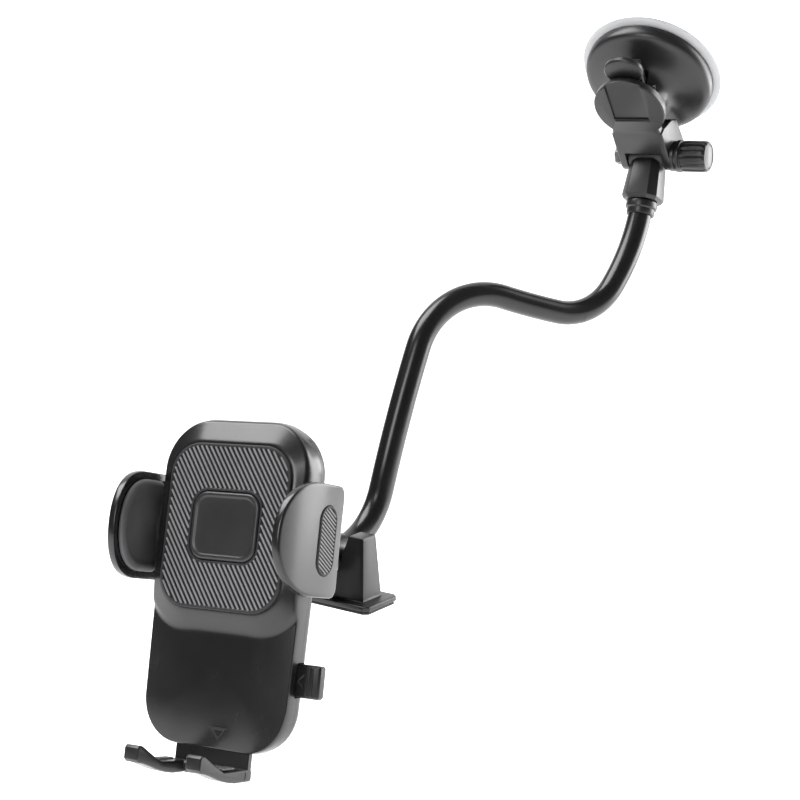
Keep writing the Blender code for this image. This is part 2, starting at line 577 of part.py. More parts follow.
def make_cradle(cradle, mats):
    bx, by, bz = BALL_IN_CRADLE
    # rear housing: tray, socket tower for the ball, post for the pinion
    rear = add_object("rear_housing", loft_mesh("rear_housing", [
        body_ring(4.5, -16.0), body_ring(2.0, -15.6), body_ring(0.7, -14.2), body_ring(0.5, -12.6),
        body_ring(0.5, -10.3)]), cradle)
    cut(rear, loft_mesh("tray", [body_ring(3.0, -14.4), body_ring(2.4, -13.8), body_ring(2.4, -9.0)]))
    add(rear, rod_mesh("socket_tower", 11.0, (bx, by, -15.2), (bx, by, bz), 36),
        rod_mesh("pinion_post", 1.6, (0.0, ARM_MID_Y, -15.0), (0.0, ARM_MID_Y, -10.8), 20))
    bm = bmesh.new()
    bmesh.ops.create_uvsphere(bm, u_segments=32, v_segments=16, radius=SEAT_R * MM)
    bmesh.ops.translate(bm, verts=bm.verts, vec=(bx * MM, by * MM, bz * MM))
    holes = [rod_mesh("h", 1.3, (x, y, -18.0), (x, y, -9.0), 14) for x, y in SCREW_PLACES]
    sinks = [rod_mesh("s", 2.9, (x, y, -18.0), (x, y, -15.2), 20) for x, y in SCREW_PLACES]
    cut(rear, mesh_from(bm, "seat"), join_meshes("screw_holes", holes), join_meshes("sinks", sinks),
        box_mesh("arm_slots", (-40.0, ARM_MID_Y - 18.5, -14.4), (40.0, ARM_MID_Y + 18.5, -9.0)),
        box_mesh("button_slot", (20.0, -59.4, -13.9), (40.0, -46.6, -9.0)))
    with_material(mats["black"], rear)

    # front housing: crowned shell with a raised frame round the pad
    front = add_object("front_housing", loft_mesh("front_housing", [
        body_ring(0.3, -10.0), body_ring(0.0, -9.7), body_ring(0.0, -8.0), body_ring(1.0, -6.6),
        body_ring(3.0, -5.1), body_ring(6.0, -3.9), body_ring(10.0, -3.0), body_ring(15.0, -2.4),
        body_ring(20.0, -2.1)]), cradle)
    x0, x1, y0, y1 = PAD_BOX
    raised = []
    for grow, z in ((5.6, -8.0), (5.3, -5.6), (4.7, -4.3), (0.9, -0.25), (0.4, 0.0)):
        extra = grow * 0.55 if grow > 1.0 else 0.0
        raised.append([(x, y, z) for x, y in round_rect(x0 - grow, x1 + grow, y0 - grow - extra,
                                                        y1 + grow + extra, 12.5 + grow, 12.5 + grow, 5)])
    add(front, loft_mesh("raised_frame", raised))
    cut(front, loft_mesh("inside", [body_ring(2.2, -11.0), body_ring(2.2, -8.4), body_ring(4.4, -6.9),
                                    body_ring(8.0, -5.5), body_ring(14.0, -4.6), body_ring(20.0, -4.3)]),
        plate_mesh("pad_recess", round_rect(x0 - 0.3, x1 + 0.3, y0 - 0.3, y1 + 0.3, 12.8, 12.8),
                   -1.4, 2.0))
    add(front, *[rod_mesh("boss", 3.0, (x, y, -4.0), (x, y, -14.1), 20) for x, y in SCREW_PLACES])
    cut(front, join_meshes("boss_bores", [rod_mesh("b", 1.3, (x, y, -15.0), (x, y, -7.0), 14)
                                          for x, y in SCREW_PLACES]),
        box_mesh("button_gap", (24.0, -59.4, -12.0), (40.0, -46.6, -8.7)),
        box_mesh("arm_gaps", (-40.0, ARM_MID_Y - 18.5, -12.0), (40.0, ARM_MID_Y + 18.5, -10.0 + 0.2)),
        box_mesh("foot_gap", (-16.8, -90.0, -9.95), (16.8, -76.0, -6.3)))
    with_material(mats["shell"], front)

    outline = round_rect(x0, x1, y0, y1, 12.5, 12.5)
    pad = add_object("grip_pad", plate_mesh("grip_pad", outline, -1.1, 1.0, 0.4), cradle)
    cut(pad, plate_mesh("plate_hole", round_rect(-15.1, 15.1, -13.0, 13.0, 6.4, 6.4), -3.0, 3.0))
    with_material(mats["rubber"], pad)
    rings = []
    for inset, z in ((0.0, -1.1), (0.0, 0.7), (0.5, 1.2), (2.0, 1.6)):
        corner = 6.0 - inset * 0.6
        rings.append([(x, y, z) for x, y in round_rect(-14.8 + inset, 14.8 - inset, -12.65 + inset,
                                                       12.65 - inset, corner, corner)])
    centre = add_object("centre_plate", loft_mesh("centre_plate", rings), cradle)
    with_material(mats["grey"], centre)

    for k, (x, y) in enumerate(SCREW_PLACES):
        screw = add_object(f"housing_screw_{k + 1}", lathe_mesh(f"housing_screw_{k + 1}", [
            (0.0, -7.6), (1.1, -7.6), (1.1, -15.5), (2.5, -15.55), (2.6, -16.1), (2.2, -16.5),
            (0.0, -16.5)], 20, (x, y)), cradle)
        cut(screw, box_mesh("slot_a", (x - 1.5, y - 0.3, -17.0), (x + 1.5, y + 0.3, -16.0)),
            box_mesh("slot_b", (x - 0.3, y - 1.5, -17.0), (x + 0.3, y + 1.5, -16.0)))
        with_material(mats["steel"], screw)
    # leaf spring that keeps the foot where it is pulled to
    arch = [(-59.0, -6.35), (-62.5, -5.9), (-66.0, -5.75), (-69.0, -5.9), (-72.0, -6.35)]
    strip = arch + [(y, z + 0.45) for y, z in arch[::-1]]
    leaf = add_object("foot_spring", side_plate("foot_spring", strip, -4.0, 4.0), cradle)
    with_material(mats["steel"], leaf)


def gear_outline(cx, cy, phase):
    """Spur pinion with straight-flanked teeth."""
    pts = []
    pitch = 360.0 / TEETH
    for k in range(TEETH):
        a = phase + k * pitch
        for da, r in ((-0.30, PITCH_R - 0.85), (-0.19, PITCH_R - 0.05), (-0.08, PITCH_R + 0.55),
                      (0.08, PITCH_R + 0.55), (0.19, PITCH_R - 0.05), (0.30, PITCH_R - 0.85)):
            t = math.radians(a + da * pitch)
            pts.append((cx + r * math.cos(t), cy + r * math.sin(t)))
    return pts


def rack_outline():
    """Rack bar above the pinion, teeth pointing down; the right arm's own link plate joins it."""
    line = ARM_MID_Y + PITCH_R
    pts = []
    first = -7
    last = 1
    pts.append((first * RACK_PITCH, line + 1.05))
    for k in range(first, last + 1):
        x = (k + 0.5) * RACK_PITCH
        for dx, y in ((-0.30, 0.95), (-0.19, 0.0), (-0.08, -0.55),
                      (0.08, -0.55), (0.19, 0.0), (0.30, 0.95)):
            pts.append((x + dx * RACK_PITCH, line + y))
        pts.append((x + 0.5 * RACK_PITCH, line + 1.05))
    pts.append((22.5, line + 1.05))
    pts.append((22.5, line + 5.6))
    pts.append((first * RACK_PITCH, line + 5.6))
    return pts


def wing_out(z):
    return 41.2 - 0.0052 * (z + 4.0) ** 2


def wing_half(z, z_front, half, knee, power=2.4):
    if z <= knee:
        return half
    t = min(1.0, (z - knee) / (z_front - knee))
    return half * (1.0 - t ** power) ** (1.0 / power)


def wing_mesh(name, stations, thick, inset_out, mid=ARM_MID_Y):
    """Curved clamp wall: (z, half height, thickness scale) stations, outer face at wing_out."""
    rings = []
    for z, half, scale in stations:
        xo = wing_out(z) - inset_out
        cx = xo - thick / 2.0
        hw = thick * scale / 2.0
        r = min(hw, half) * 0.6
        rings.append([(cx + x, mid + y, z) for x, y in round_rect(-hw, hw, -half, half, r, r, 3)])
    return loft_mesh(name, rings)


def half_turn(mesh):
    """Turn a right-hand mesh about the pinion's axis to make the left-hand one."""
    centre = Vector((0.0, ARM_MID_Y * MM, 0.0))
    mesh.transform(Matrix.Translation(centre) @ Matrix.Rotation(math.pi, 4, "Z")
                   @ Matrix.Translation(-centre))
    return mesh


def make_clamp(tag, holder, mats):
    turn = half_turn if tag == "left" else (lambda mesh: mesh)
    stations = [(-16.0, 16.6, 0.7), (-15.2, 18.6, 0.92), (-13.6, 20.1, 1.0)]
    for z in (-8.0, -2.0, 3.0, 7.0, 10.5, 13.5, 16.0, 18.0, 19.4, 20.4, 21.1):
        stations.append((z, wing_half(z, 21.9, 20.5, 2.0, 2.2), 1.0 if z < 20.0 else 0.8))
    stations.append((21.5, wing_half(21.5, 21.9, 20.5, 2.0, 2.2), 0.5))
    arm = add_object(f"{tag}_clamp", turn(wing_mesh(f"{tag}_clamp", stations, 3.2, 0.0)), holder)
    link = box_mesh("link", (21.0, ARM_MID_Y - 18.0, -14.1), (39.4, ARM_MID_Y + 18.0, -10.9), 0.3, 1)
    rack = loft_mesh("rack", [[(x, y, z) for x, y in rack_outline()] for z in (-13.9, -11.1)])
    add(arm, turn(link), turn(rack))
    grip_face = wing_out(-5.0)
    pocket = plate_mesh("pocket", slot_outline(ARM_MID_Y, -5.0, 26.0, 11.6),
                        grip_face - 0.8, grip_face + 4.0)
    pocket.transform(side_matrix())
    cut(arm, turn(pocket))
    with_material(mats["shell"], arm)

    stations = []
    for z in (-9.4, -8.8, -2.0, 2.0, 6.0, 9.0, 12.0, 14.4, 16.2, 17.4, 18.0):
        half = wing_half(z, 18.7, 17.6, 1.0, 2.2)
        if z < -9.0:
            half = 16.6
        stations.append((z, half, 0.5 if z < -9.0 or z > 17.8 else 1.0))
    pad = add_object(f"{tag}_clamp_pad", turn(wing_mesh(f"{tag}_clamp_pad", stations, 2.0, 3.5)), holder)
    with_material(mats["pad_grey"], pad)

    inset = plate_mesh(f"{tag}_grip_inset", slot_outline(ARM_MID_Y, -5.0, 25.4, 11.0),
                       grip_face - 0.5, grip_face + 0.7, 0.3)
    inset.transform(side_matrix())
    inset = add_object(f"{tag}_grip_inset", turn(inset), holder)
    with_material(mats["rubber"], inset)


def make_mechanism(pinion_frame, button_frame, pawl_frame, mats):
    gear = add_object("pinion", plate_mesh("pinion", gear_outline(0.0, 0.0, 90.0), -1.5, 1.5),
                      pinion_frame)
    cut(gear, rod_mesh("pinion_bore", 1.75, (0.0, 0.0, -4.0), (0.0, 0.0, 4.0), 20))
    with_material(mats["grey"], gear)

    button = add_object("release_button", box_mesh("release_button", (30.4, -59.0, -13.5),
                                                   (41.6, -47.0, -9.1), 0.7), button_frame)
    add(button, box_mesh("stem", (18.6, -55.0, -13.5), (31.4, -50.0, -10.9), 0.2, 1),
        box_mesh("ridge_1", (35.8, -58.2, -9.5), (36.7, -47.8, -8.75), 0.15, 1),
        box_mesh("ridge_2", (38.0, -58.2, -9.5), (38.9, -47.8, -8.75), 0.15, 1))
    with_material(mats["black"], button)

    # pawl, origin on its pivot
    shape = [(-1.9, 8.8), (-0.2, 10.2), (1.6, 8.6), (3.2, 3.0), (3.2, -2.0), (4.2, -22.0), (3.6, -26.5),
             (1.0, -26.5), (0.6, -22.0), (-2.6, -2.6), (-2.9, 2.0)]
    pawl = add_object("ratchet_pawl", plate_mesh("ratchet_pawl", shape, -1.2, 1.2), pawl_frame)
    cut(pawl, rod_mesh("pawl_bore", 1.45, (0.0, 0.0, -4.0), (0.0, 0.0, 4.0), 18))
    with_material(mats["grey"], pawl)


def make_foot(holder, mats):
    plate = box_mesh("phone_foot", (-16.4, -88.0, -9.6), (16.4, -60.0, -6.7), 0.4, 1)
    foot = add_object("phone_foot", plate, holder)
    add(foot, box_mesh("crossbar", (-17.0, -91.2, -9.6), (17.0, -86.9, -4.4), 0.8))
    for s in (-1, 1):
        side = [(-91.2, -9.2), (-91.4, 1.0), (-90.8, 6.0), (-89.5, 11.5), (-88.1, 16.0), (-87.1, 20.0),
                (-86.7, 22.4), (-85.6, 23.6), (-81.6, 23.6), (-80.7, 22.7), (-80.8, 21.0), (-82.0, 18.6),
                (-83.6, 15.6), (-85.2, 12.4), (-86.3, 9.8), (-87.0, 8.4), (-87.0, -9.2)]
        add(foot, side_plate("hook", side, s * 13.6 - 3.2, s * 13.6 + 3.2, 0.4))
    with_material(mats["black"], foot)
    for s, tag in ((-1, "left"), (1, "right")):
        strip = add_object(f"foot_strip_{tag}", box_mesh(
            f"foot_strip_{tag}", (s * 13.6 - 1.9, -86.7, 0.0), (s * 13.6 + 1.9, -85.8, 8.2), 0.25, 1), holder)
        with_material(mats["pad_grey"], strip)


SCREW_PLACES = ((-21.5, 27.5), (21.5, 27.5), (-22.5, -69.0), (22.5, -69.0))


def main():
    global parts, cutters
    clear_scene()
    parts = bpy.data.collections.new("car_phone_mount")
    cutters = bpy.data.collections.new("cutters")
    bpy.context.scene.collection.children.link(parts)
    bpy.context.scene.collection.children.link(cutters)
    cutters.hide_render = True
    mats = {
        "gel": material("gel_clear", (0.80, 0.83, 0.84), 0.25, 0.0, 0.45),
        "black": material("plastic_black", (0.022, 0.022, 0.024), 0.38),
        "shell": material("shell_black", (0.030, 0.030, 0.033), 0.30),
        "sleeve": material("sleeve_black", (0.018, 0.018, 0.020), 0.33),
        "rubber": material("silicone_black", (0.035, 0.035, 0.037), 0.75),
        "pad_grey": material("silicone_grey", (0.21, 0.21, 0.22), 0.65),
        "grey": material("plastic_grey", (0.12, 0.12, 0.125), 0.45),
        "steel": material("steel_zinc", (0.62, 0.62, 0.60), 0.28, 1.0),
        "metal": material("ball_chrome", (0.70, 0.70, 0.72), 0.16, 1.0),
    }
    route = arm_route()
    cup_m = cup_matrix()
    ball, tail, tail_bend = route_at(route, sum(length for length, _ in ARM_STRETCHES))
    cradle_m = cradle_matrix(ball)

    cup = frame("cup_frame", cup_m)
    rod_frame = frame("pull_rod_frame", cup_m)
    lever_frame = frame("lever_frame", cup_m @ Matrix.Translation(Vector(LEVER_PIVOT)))
    hinge = cup_m @ Vector(HINGE_CUP)
    knob_m = Matrix(((0, 0, 1, 0), (1, 0, 0, 0), (0, 1, 0, 0), (0, 0, 0, 1)))
    knob_m.translation = hinge
    knob_frame = frame("knob_frame", knob_m)
    make_cup(cup, rod_frame, lever_frame, knob_frame, mats)

    start, tangent, _ = route_at(route, 0.0)
    side = Vector((1.0, 0.0, 0.0))
    head_frame = frame("arm_head_frame", axis_matrix(start, tangent, side))
    holders = [head_frame]
    for k, along in enumerate(FLEX_AT):
        point, _, _ = route_at(route, along)
        holders.append(frame(f"flex_{k + 1}_frame", Matrix.Translation(point)))
    bpy.context.view_layer.update()
    make_arm(route, holders, head_frame, mats)

    end_frame = frame("arm_end_frame", axis_matrix(ball, tail, tail_bend))
    make_arm_end(route, end_frame, mats)
    saddle_at, _, _ = route_at(route, SADDLE_AT)
    back = Vector((-tail.x, -tail.y, 0.0)).normalized()
    right = back.cross(Vector((0.0, 0.0, 1.0)))
    saddle_m = Matrix.Identity(4)
    for i, axis in enumerate((right, back, Vector((0.0, 0.0, 1.0)))):
        saddle_m.col[i] = (*axis, 0.0)
    saddle_m.translation = saddle_at
    saddle_frame = frame("saddle_frame", saddle_m)
    make_saddle(saddle_frame, math.degrees(math.asin(tail.z)), mats)

    ball_m = cradle_m.copy()
    ball_m.translation = ball
    make_ball_joint(frame("ball_liner_frame", ball_m), frame("lock_nut_frame", ball_m), mats)
    cradle = frame("cradle_frame", cradle_m)
    make_cradle(cradle, mats)
    make_clamp("left", frame("left_clamp_frame", cradle_m), mats)
    make_clamp("right", frame("right_clamp_frame", cradle_m), mats)
    make_mechanism(frame("pinion_frame", cradle_m @ Matrix.Translation((0.0, ARM_MID_Y, -12.5))),
                   frame("button_frame", cradle_m),
                   frame("pawl_frame", cradle_m @ Matrix.Translation((13.0, -26.6, -12.6))), mats)
    make_foot(frame("foot_frame", cradle_m), mats)
    bpy.context.view_layer.update()


main()
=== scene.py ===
import json
import math

import bmesh
import bpy
from mathutils import Matrix, Vector


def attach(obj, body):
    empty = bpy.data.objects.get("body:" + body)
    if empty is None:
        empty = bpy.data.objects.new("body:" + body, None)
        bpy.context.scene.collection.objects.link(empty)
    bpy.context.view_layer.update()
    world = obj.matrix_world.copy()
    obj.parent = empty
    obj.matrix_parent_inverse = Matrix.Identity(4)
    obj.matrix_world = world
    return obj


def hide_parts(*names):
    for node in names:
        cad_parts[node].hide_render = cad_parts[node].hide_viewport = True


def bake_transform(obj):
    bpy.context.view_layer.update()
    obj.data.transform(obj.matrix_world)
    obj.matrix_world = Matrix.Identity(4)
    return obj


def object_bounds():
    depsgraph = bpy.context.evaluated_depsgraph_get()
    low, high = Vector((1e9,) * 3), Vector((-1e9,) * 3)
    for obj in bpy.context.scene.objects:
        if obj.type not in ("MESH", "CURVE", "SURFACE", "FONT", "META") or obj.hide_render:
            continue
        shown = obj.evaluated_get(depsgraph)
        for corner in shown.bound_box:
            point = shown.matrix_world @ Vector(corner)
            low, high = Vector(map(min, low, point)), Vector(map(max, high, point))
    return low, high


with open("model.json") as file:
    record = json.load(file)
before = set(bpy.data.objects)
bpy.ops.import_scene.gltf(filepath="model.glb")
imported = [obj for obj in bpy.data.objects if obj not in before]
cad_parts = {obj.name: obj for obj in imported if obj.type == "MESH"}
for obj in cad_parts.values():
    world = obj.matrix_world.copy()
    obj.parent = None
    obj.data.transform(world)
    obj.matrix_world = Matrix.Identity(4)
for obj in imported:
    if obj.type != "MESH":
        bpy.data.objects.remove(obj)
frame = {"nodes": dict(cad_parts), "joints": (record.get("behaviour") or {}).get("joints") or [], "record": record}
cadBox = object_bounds()
nodes = frame["nodes"]
joints = {joint["name"]: joint for joint in frame["joints"]}
mountAxes = {mount["name"]: Vector(mount["axis"]).normalized() for mount in frame["record"]["mounts"]}
mm = 0.001
print("frame loaded:", len(nodes), "solids")


# places: each frame takes millimetres in its own axes to metres in the row frame
def frameOf(side, up, out, origin=(0, 0, 0)):
    turn = Matrix((side, up, out)).transposed().to_4x4()
    return Matrix.Translation(Vector(origin)) @ turn @ Matrix.Diagonal((mm, mm, mm, 1))


def localBox(name, place):
    back = place.inverted()
    points = [back @ v.co for v in nodes[name].data.vertices]
    low = Vector([min(p[i] for p in points) for i in range(3)])
    high = Vector([max(p[i] for p in points) for i in range(3)])
    return low, high


sideAxis = Vector((1, 0, 0))
upAxis = Vector((0, 0, 1))
glassOut = -mountAxes["suction_face"]
cupPlace = frameOf(sideAxis, glassOut.cross(sideAxis), glassOut)
hinge = Vector(joints["arm_pivot"]["pos_m"])
knobPlace = frameOf((0, 1, 0), (0, 0, 1), (1, 0, 0), hinge)
ball = Vector(joints["cradle_pan"]["pos_m"])
phoneOut = mountAxes["phone_rest"]
phoneUp = mountAxes["foot_ledge"]
phoneSide = phoneUp.cross(phoneOut)
padBox = localBox("grip_pad", frameOf(phoneSide, phoneUp, phoneOut))
padAcross = (padBox[0].x + padBox[1].x) / 2
padFoot, padTop = 31, 1  # the pad's lower edge and its ribs' tops, from the cradle's own origin
cradleOrigin = (phoneSide * padAcross + phoneUp * (padBox[0].y + padFoot)
                + phoneOut * (padBox[1].z - padTop)) * mm
cradlePlace = frameOf(phoneSide, phoneUp, phoneOut, cradleOrigin)
print("frames placed")


# node trees: a wire is a socket that can be summed, and a graph adds nodes
class Wire:
    def __init__(self, graph, socket):
        self.graph = graph
        self.socket = socket

    def sum(self, operation, other, swap=False):
        pair = (other, self) if swap else (self, other)
        return self.graph.add("ShaderNodeMath", {"operation": operation}, {0: pair[0], 1: pair[1]})

    def __add__(self, other):
        return self.sum("ADD", other)

    def __sub__(self, other):
        return self.sum("SUBTRACT", other)

    def __rsub__(self, other):
        return self.sum("SUBTRACT", other, True)

    def __mul__(self, other):
        return self.sum("MULTIPLY", other)

    def __truediv__(self, other):
        return self.sum("DIVIDE", other)

    __radd__ = __add__
    __rmul__ = __mul__

    def highest(self, other):
        return self.sum("MAXIMUM", other)

    def size(self):
        return self.graph.add("ShaderNodeMath", {"operation": "ABSOLUTE"}, {0: self})

    def rise(self, low, high):  # 0 below low, 1 above high, smooth in between
        return self.graph.add("ShaderNodeMapRange", {"interpolation_type": "SMOOTHSTEP"},
                              {"Value": self, "From Min": low, "From Max": high})


class Graph:
    def __init__(self, tree):
        self.tree = tree

    def add(self, kind, settings=None, sockets=None, output=0):
        node = self.tree.nodes.new(kind)
        for key, value in (settings or {}).items():
            setattr(node, key, value)
        for key, value in (sockets or {}).items():
            self.feed(node.inputs[key], value)
        return Wire(self, node.outputs[output])

    def feed(self, socket, value):
        if isinstance(value, Wire):
            self.tree.links.new(value.socket, socket)
        else:
            socket.default_value = value


class Paint(Graph):
    def __init__(self, name, metallic=0.0, ior=1.5):
        self.material = bpy.data.materials.new(name)
        self.material.use_nodes = True
        super().__init__(self.material.node_tree)
        self.shader = self.tree.nodes["Principled BSDF"]
        self.shader.inputs["Metallic"].default_value = metallic
        self.shader.inputs["IOR"].default_value = ior
        self.coords = self.add("ShaderNodeTexCoord", output="Object")

    def noise(self, scale, detail=2.0, stretch=None):
        where = self.coords
        if stretch:
            where = self.add("ShaderNodeVectorMath", {"operation": "MULTIPLY"}, {0: where, 1: stretch})
        return self.add("ShaderNodeTexNoise", None, {"Vector": where, "Scale": scale, "Detail": detail})

    def along(self, axis, origin=(0, 0, 0)):  # millimetres along an axis from a point
        offset = Vector(axis).dot(Vector(origin)) / mm
        reach = self.add("ShaderNodeVectorMath", {"operation": "DOT_PRODUCT"},
                         {0: self.coords, 1: tuple(Vector(axis) / mm)}, "Value")
        return reach - offset

    def mix(self, factor, first, second):
        node = self.tree.nodes.new("ShaderNodeMix")
        node.data_type = "RGBA"
        for key, value in ((0, factor), (6, first), (7, second)):
            if not isinstance(value, Wire) and key:
                value = (*value, 1.0)
            self.feed(node.inputs[key], value)
        return Wire(self, node.outputs[2])

    def finish(self, color, roughness, height=None, depth=0.1):
        self.feed(self.shader.inputs["Base Color"], color)
        self.feed(self.shader.inputs["Roughness"], roughness)
        if height is not None:
            bump = self.add("ShaderNodeBump", None,
                            {"Strength": 1.0, "Distance": depth * mm, "Height": height})
            self.feed(self.shader.inputs["Normal"], bump)
        return self.material


mouldings = {
    "satinBlack": {"tone": 0.008, "lift": 0.004, "roughness": 0.33, "spread": 0.10, "grain": 2600,
                   "depth": 0.012, "coat": 0.0},
    "glossShell": {"tone": 0.007, "lift": 0.003, "roughness": 0.25, "spread": 0.07, "grain": 1500,
                   "depth": 0.004, "coat": 0.15},
    "sleeveBlack": {"tone": 0.006, "lift": 0.003, "roughness": 0.24, "spread": 0.08, "grain": 1900,
                    "depth": 0.006, "coat": 0.0},
    "acetalGrey": {"tone": 0.085, "lift": 0.02, "roughness": 0.42, "spread": 0.08, "grain": 2200,
                   "depth": 0.008, "coat": 0.0},
    "plateGrey": {"tone": 0.018, "lift": 0.006, "roughness": 0.33, "spread": 0.06, "grain": 2800,
                  "depth": 0.010, "coat": 0.0},
}


def moulding(name):
    look = mouldings[name]
    paint = Paint(name)
    cloud = paint.noise(38, 3)
    grain = paint.noise(look["grain"], 2)
    rub = paint.noise(140, 2, (1.0, 0.8, 0.5))  # faint handling marks, longer up and down
    tone = look["tone"]
    dark = (tone, tone, tone * 1.03)
    light = tuple(c + look["lift"] for c in dark)
    color = paint.mix(cloud.rise(0.3, 0.72), dark, light)
    roughness = look["roughness"] + (cloud - 0.5) * look["spread"] + rub.rise(0.5, 0.8) * 0.03
    paint.shader.inputs["Coat Weight"].default_value = look["coat"]
    paint.shader.inputs["Coat Roughness"].default_value = 0.12
    return paint, color, roughness, grain


def mouldedPlastic(name):
    paint, color, roughness, grain = moulding(name)
    return paint.finish(color, roughness, grain, mouldings[name]["depth"])


satinBlack = mouldedPlastic("satinBlack")
sleeveBlack = mouldedPlastic("sleeveBlack")
acetalGrey = mouldedPlastic("acetalGrey")
plateGrey = mouldedPlastic("plateGrey")
glossShell = mouldedPlastic("glossShell")

engraving = {"across": 3.9, "top": -73.6, "height": 3.9, "half": 3.3, "line": 0.30, "depth": 0.12}


def frontShellPaint():
    paint, color, roughness, grain = moulding("glossShell")
    paint.material.name = "glossShellFront"
    across = paint.along(phoneSide, cradleOrigin) - engraving["across"]
    below = engraving["top"] - paint.along(phoneUp, cradleOrigin)
    slope = math.hypot(engraving["height"], engraving["half"])
    leaning = (across.size() * engraving["height"] + below * engraving["half"]) / slope
    flank = leaning - engraving["height"] * engraving["half"] / slope
    outline = flank.highest(below * -1)  # distance outside the triangle, negative within
    groove = 1 - outline.size().rise(engraving["line"] * 0.6, engraving["line"] * 1.3)
    # the engraved line is painted darker than the shell: painted shade in the groove
    shade = paint.mix(groove, color, (0.004, 0.004, 0.004))
    return paint.finish(shade, roughness + groove * 0.2, grain * 0.03 - groove, engraving["depth"])


glossShellFront = frontShellPaint()

silicones = {
    # the black crest colour is a painted highlight on the rib tops; the groove colour is the plain dark silicone
    "black": {"groove": (0.004, 0.004, 0.0042), "crest": (0.20, 0.20, 0.205), "roughness": 0.62},
    "grey": {"groove": (0.075, 0.075, 0.077), "crest": (0.115, 0.115, 0.118), "roughness": 0.5},
}


def ribbedSilicone(name, axis, origin, low, high):  # the raised ribs are painted paler towards their tops as a painted highlight, with random patches in its strength
    look = silicones["black"]
    paint = Paint(name)
    crest = paint.along(axis, origin).rise(low, high)
    grain = paint.noise(2100, 3)
    dustAndSheen = paint.noise(90, 4)
    # painted highlight: the crest colour grows with height up each rib, patchy by the noise
    color = paint.mix(crest * (0.82 + dustAndSheen * 0.36), look["groove"], look["crest"])
    return paint.finish(color, look["roughness"] - crest * 0.12 + (dustAndSheen - 0.5) * 0.1, grain, 0.03)


def softSilicone(name, look):
    paint = Paint(name)
    cloud = paint.noise(60, 4)
    grain = paint.noise(2400, 3)
    color = paint.mix(cloud.rise(0.3, 0.7), look["groove"], look["crest"])
    return paint.finish(color, look["roughness"] + (cloud - 0.5) * 0.12, grain, 0.02)


padGrey = softSilicone("padGrey", silicones["grey"])
padDark = softSilicone("padDark", {"groove": (0.008, 0.008, 0.008), "crest": (0.016, 0.016, 0.016),
                                   "roughness": 0.6})
soleBlack = softSilicone("soleBlack", {"groove": (0.018, 0.018, 0.018), "crest": (0.032, 0.032, 0.032),
                                       "roughness": 0.72})


def clearGel():
    paint = Paint("clearGel", ior=1.41)
    cloud = paint.noise(45, 3)
    ripple = paint.noise(700, 2)
    color = paint.mix(cloud, (0.50, 0.51, 0.52), (0.62, 0.63, 0.64))
    paint.shader.inputs["Transmission Weight"].default_value = 0.3
    paint.shader.inputs["Alpha"].default_value = 0.9
    return paint.finish(color, 0.32 + cloud * 0.1, ripple, 0.002)


def metal(name, tone, roughness, marks):
    paint = Paint(name, metallic=1.0)
    cloud = paint.noise(120, 3)
    lines = paint.noise(marks, 3, (0.2, 1.0, 1.0))
    color = paint.mix(cloud, tuple(c * 0.86 for c in tone), tone)
    return paint.finish(color, roughness + (lines - 0.5) * 0.12, lines, 0.003)


gelClear = clearGel()
zincSteel = metal("zincSteel", (0.62, 0.62, 0.60), 0.30, 1800)
blackSteel = metal("blackSteel", (0.10, 0.10, 0.105), 0.35, 1500)
ballChrome = metal("ballChrome", (0.72, 0.72, 0.74), 0.14, 900)
print("materials made")


# mesh tools
def meshOf(bm, name):
    bmesh.ops.remove_doubles(bm, verts=bm.verts, dist=1e-5)
    bmesh.ops.recalc_face_normals(bm, faces=bm.faces)
    mesh = bpy.data.meshes.new(name)
    bm.to_mesh(mesh)
    bm.free()
    return mesh


def ringMesh(name, rings, fill=True):  # rings of the same length joined in order
    bm = bmesh.new()
    rows = [[bm.verts.new(point) for point in ring] for ring in rings]
    count = len(rows[0])
    for low, high in zip(rows, rows[1:]):
        for i in range(count):
            j = (i + 1) % count
            bm.faces.new((low[i], low[j], high[j], high[i]))
    if fill:
        bm.faces.new(rows[0][::-1])
        bm.faces.new(rows[-1])
    return meshOf(bm, name)


def lathe(name, profile, steps=72, centre=(0, 0)):  # (radius, height) pairs; closes on the axis or itself
    turns = [2 * math.pi * k / steps for k in range(steps)]
    rings = []
    for radius, height in profile:
        r = max(radius, 1e-4)
        rings.append([(centre[0] + r * math.cos(a), centre[1] + r * math.sin(a), height) for a in turns])
    hollow = profile[0][0] > 1e-3 and profile[-1][0] > 1e-3
    if hollow:
        rings.append(rings[0])
    return ringMesh(name, rings, not hollow)


def smoothLine(points, per=6):  # a soft curve through the points
    line = []
    for k in range(len(points) - 1):
        a = Vector(points[max(k - 1, 0)])
        b = Vector(points[k])
        c = Vector(points[k + 1])
        d = Vector(points[min(k + 2, len(points) - 1)])
        for i in range(per):
            t = i / per
            line.append(tuple(0.5 * ((2 * b) + (c - a) * t + (2 * a - 5 * b + 4 * c - d) * t * t
                                     + (3 * b - a - 3 * c + d) * t ** 3)))
    line.append(tuple(points[-1]))
    return line


def roundRect(x0, x1, y0, y1, r, corner=12):
    points = []
    for cx, cy, start in ((x1 - r, y1 - r, 0), (x0 + r, y1 - r, 90), (x0 + r, y0 + r, 180),
                          (x1 - r, y0 + r, 270)):
        for k in range(corner + 1):
            a = math.radians(start + 90 * k / corner)
            points.append((cx + r * math.cos(a), cy + r * math.sin(a)))
    return points


def prism(name, outline, low, high):
    return ringMesh(name, [[(x, y, z) for x, y in outline] for z in (low, high)])


def boxMesh(name, low, high):
    return prism(name, [(low[0], low[1]), (high[0], low[1]), (high[0], high[1]), (low[0], high[1])],
                 low[2], high[2])


def evaluatedMesh(ob):
    bpy.context.view_layer.update()
    graph = bpy.context.evaluated_depsgraph_get()
    return bpy.data.meshes.new_from_object(ob.evaluated_get(graph), depsgraph=graph)


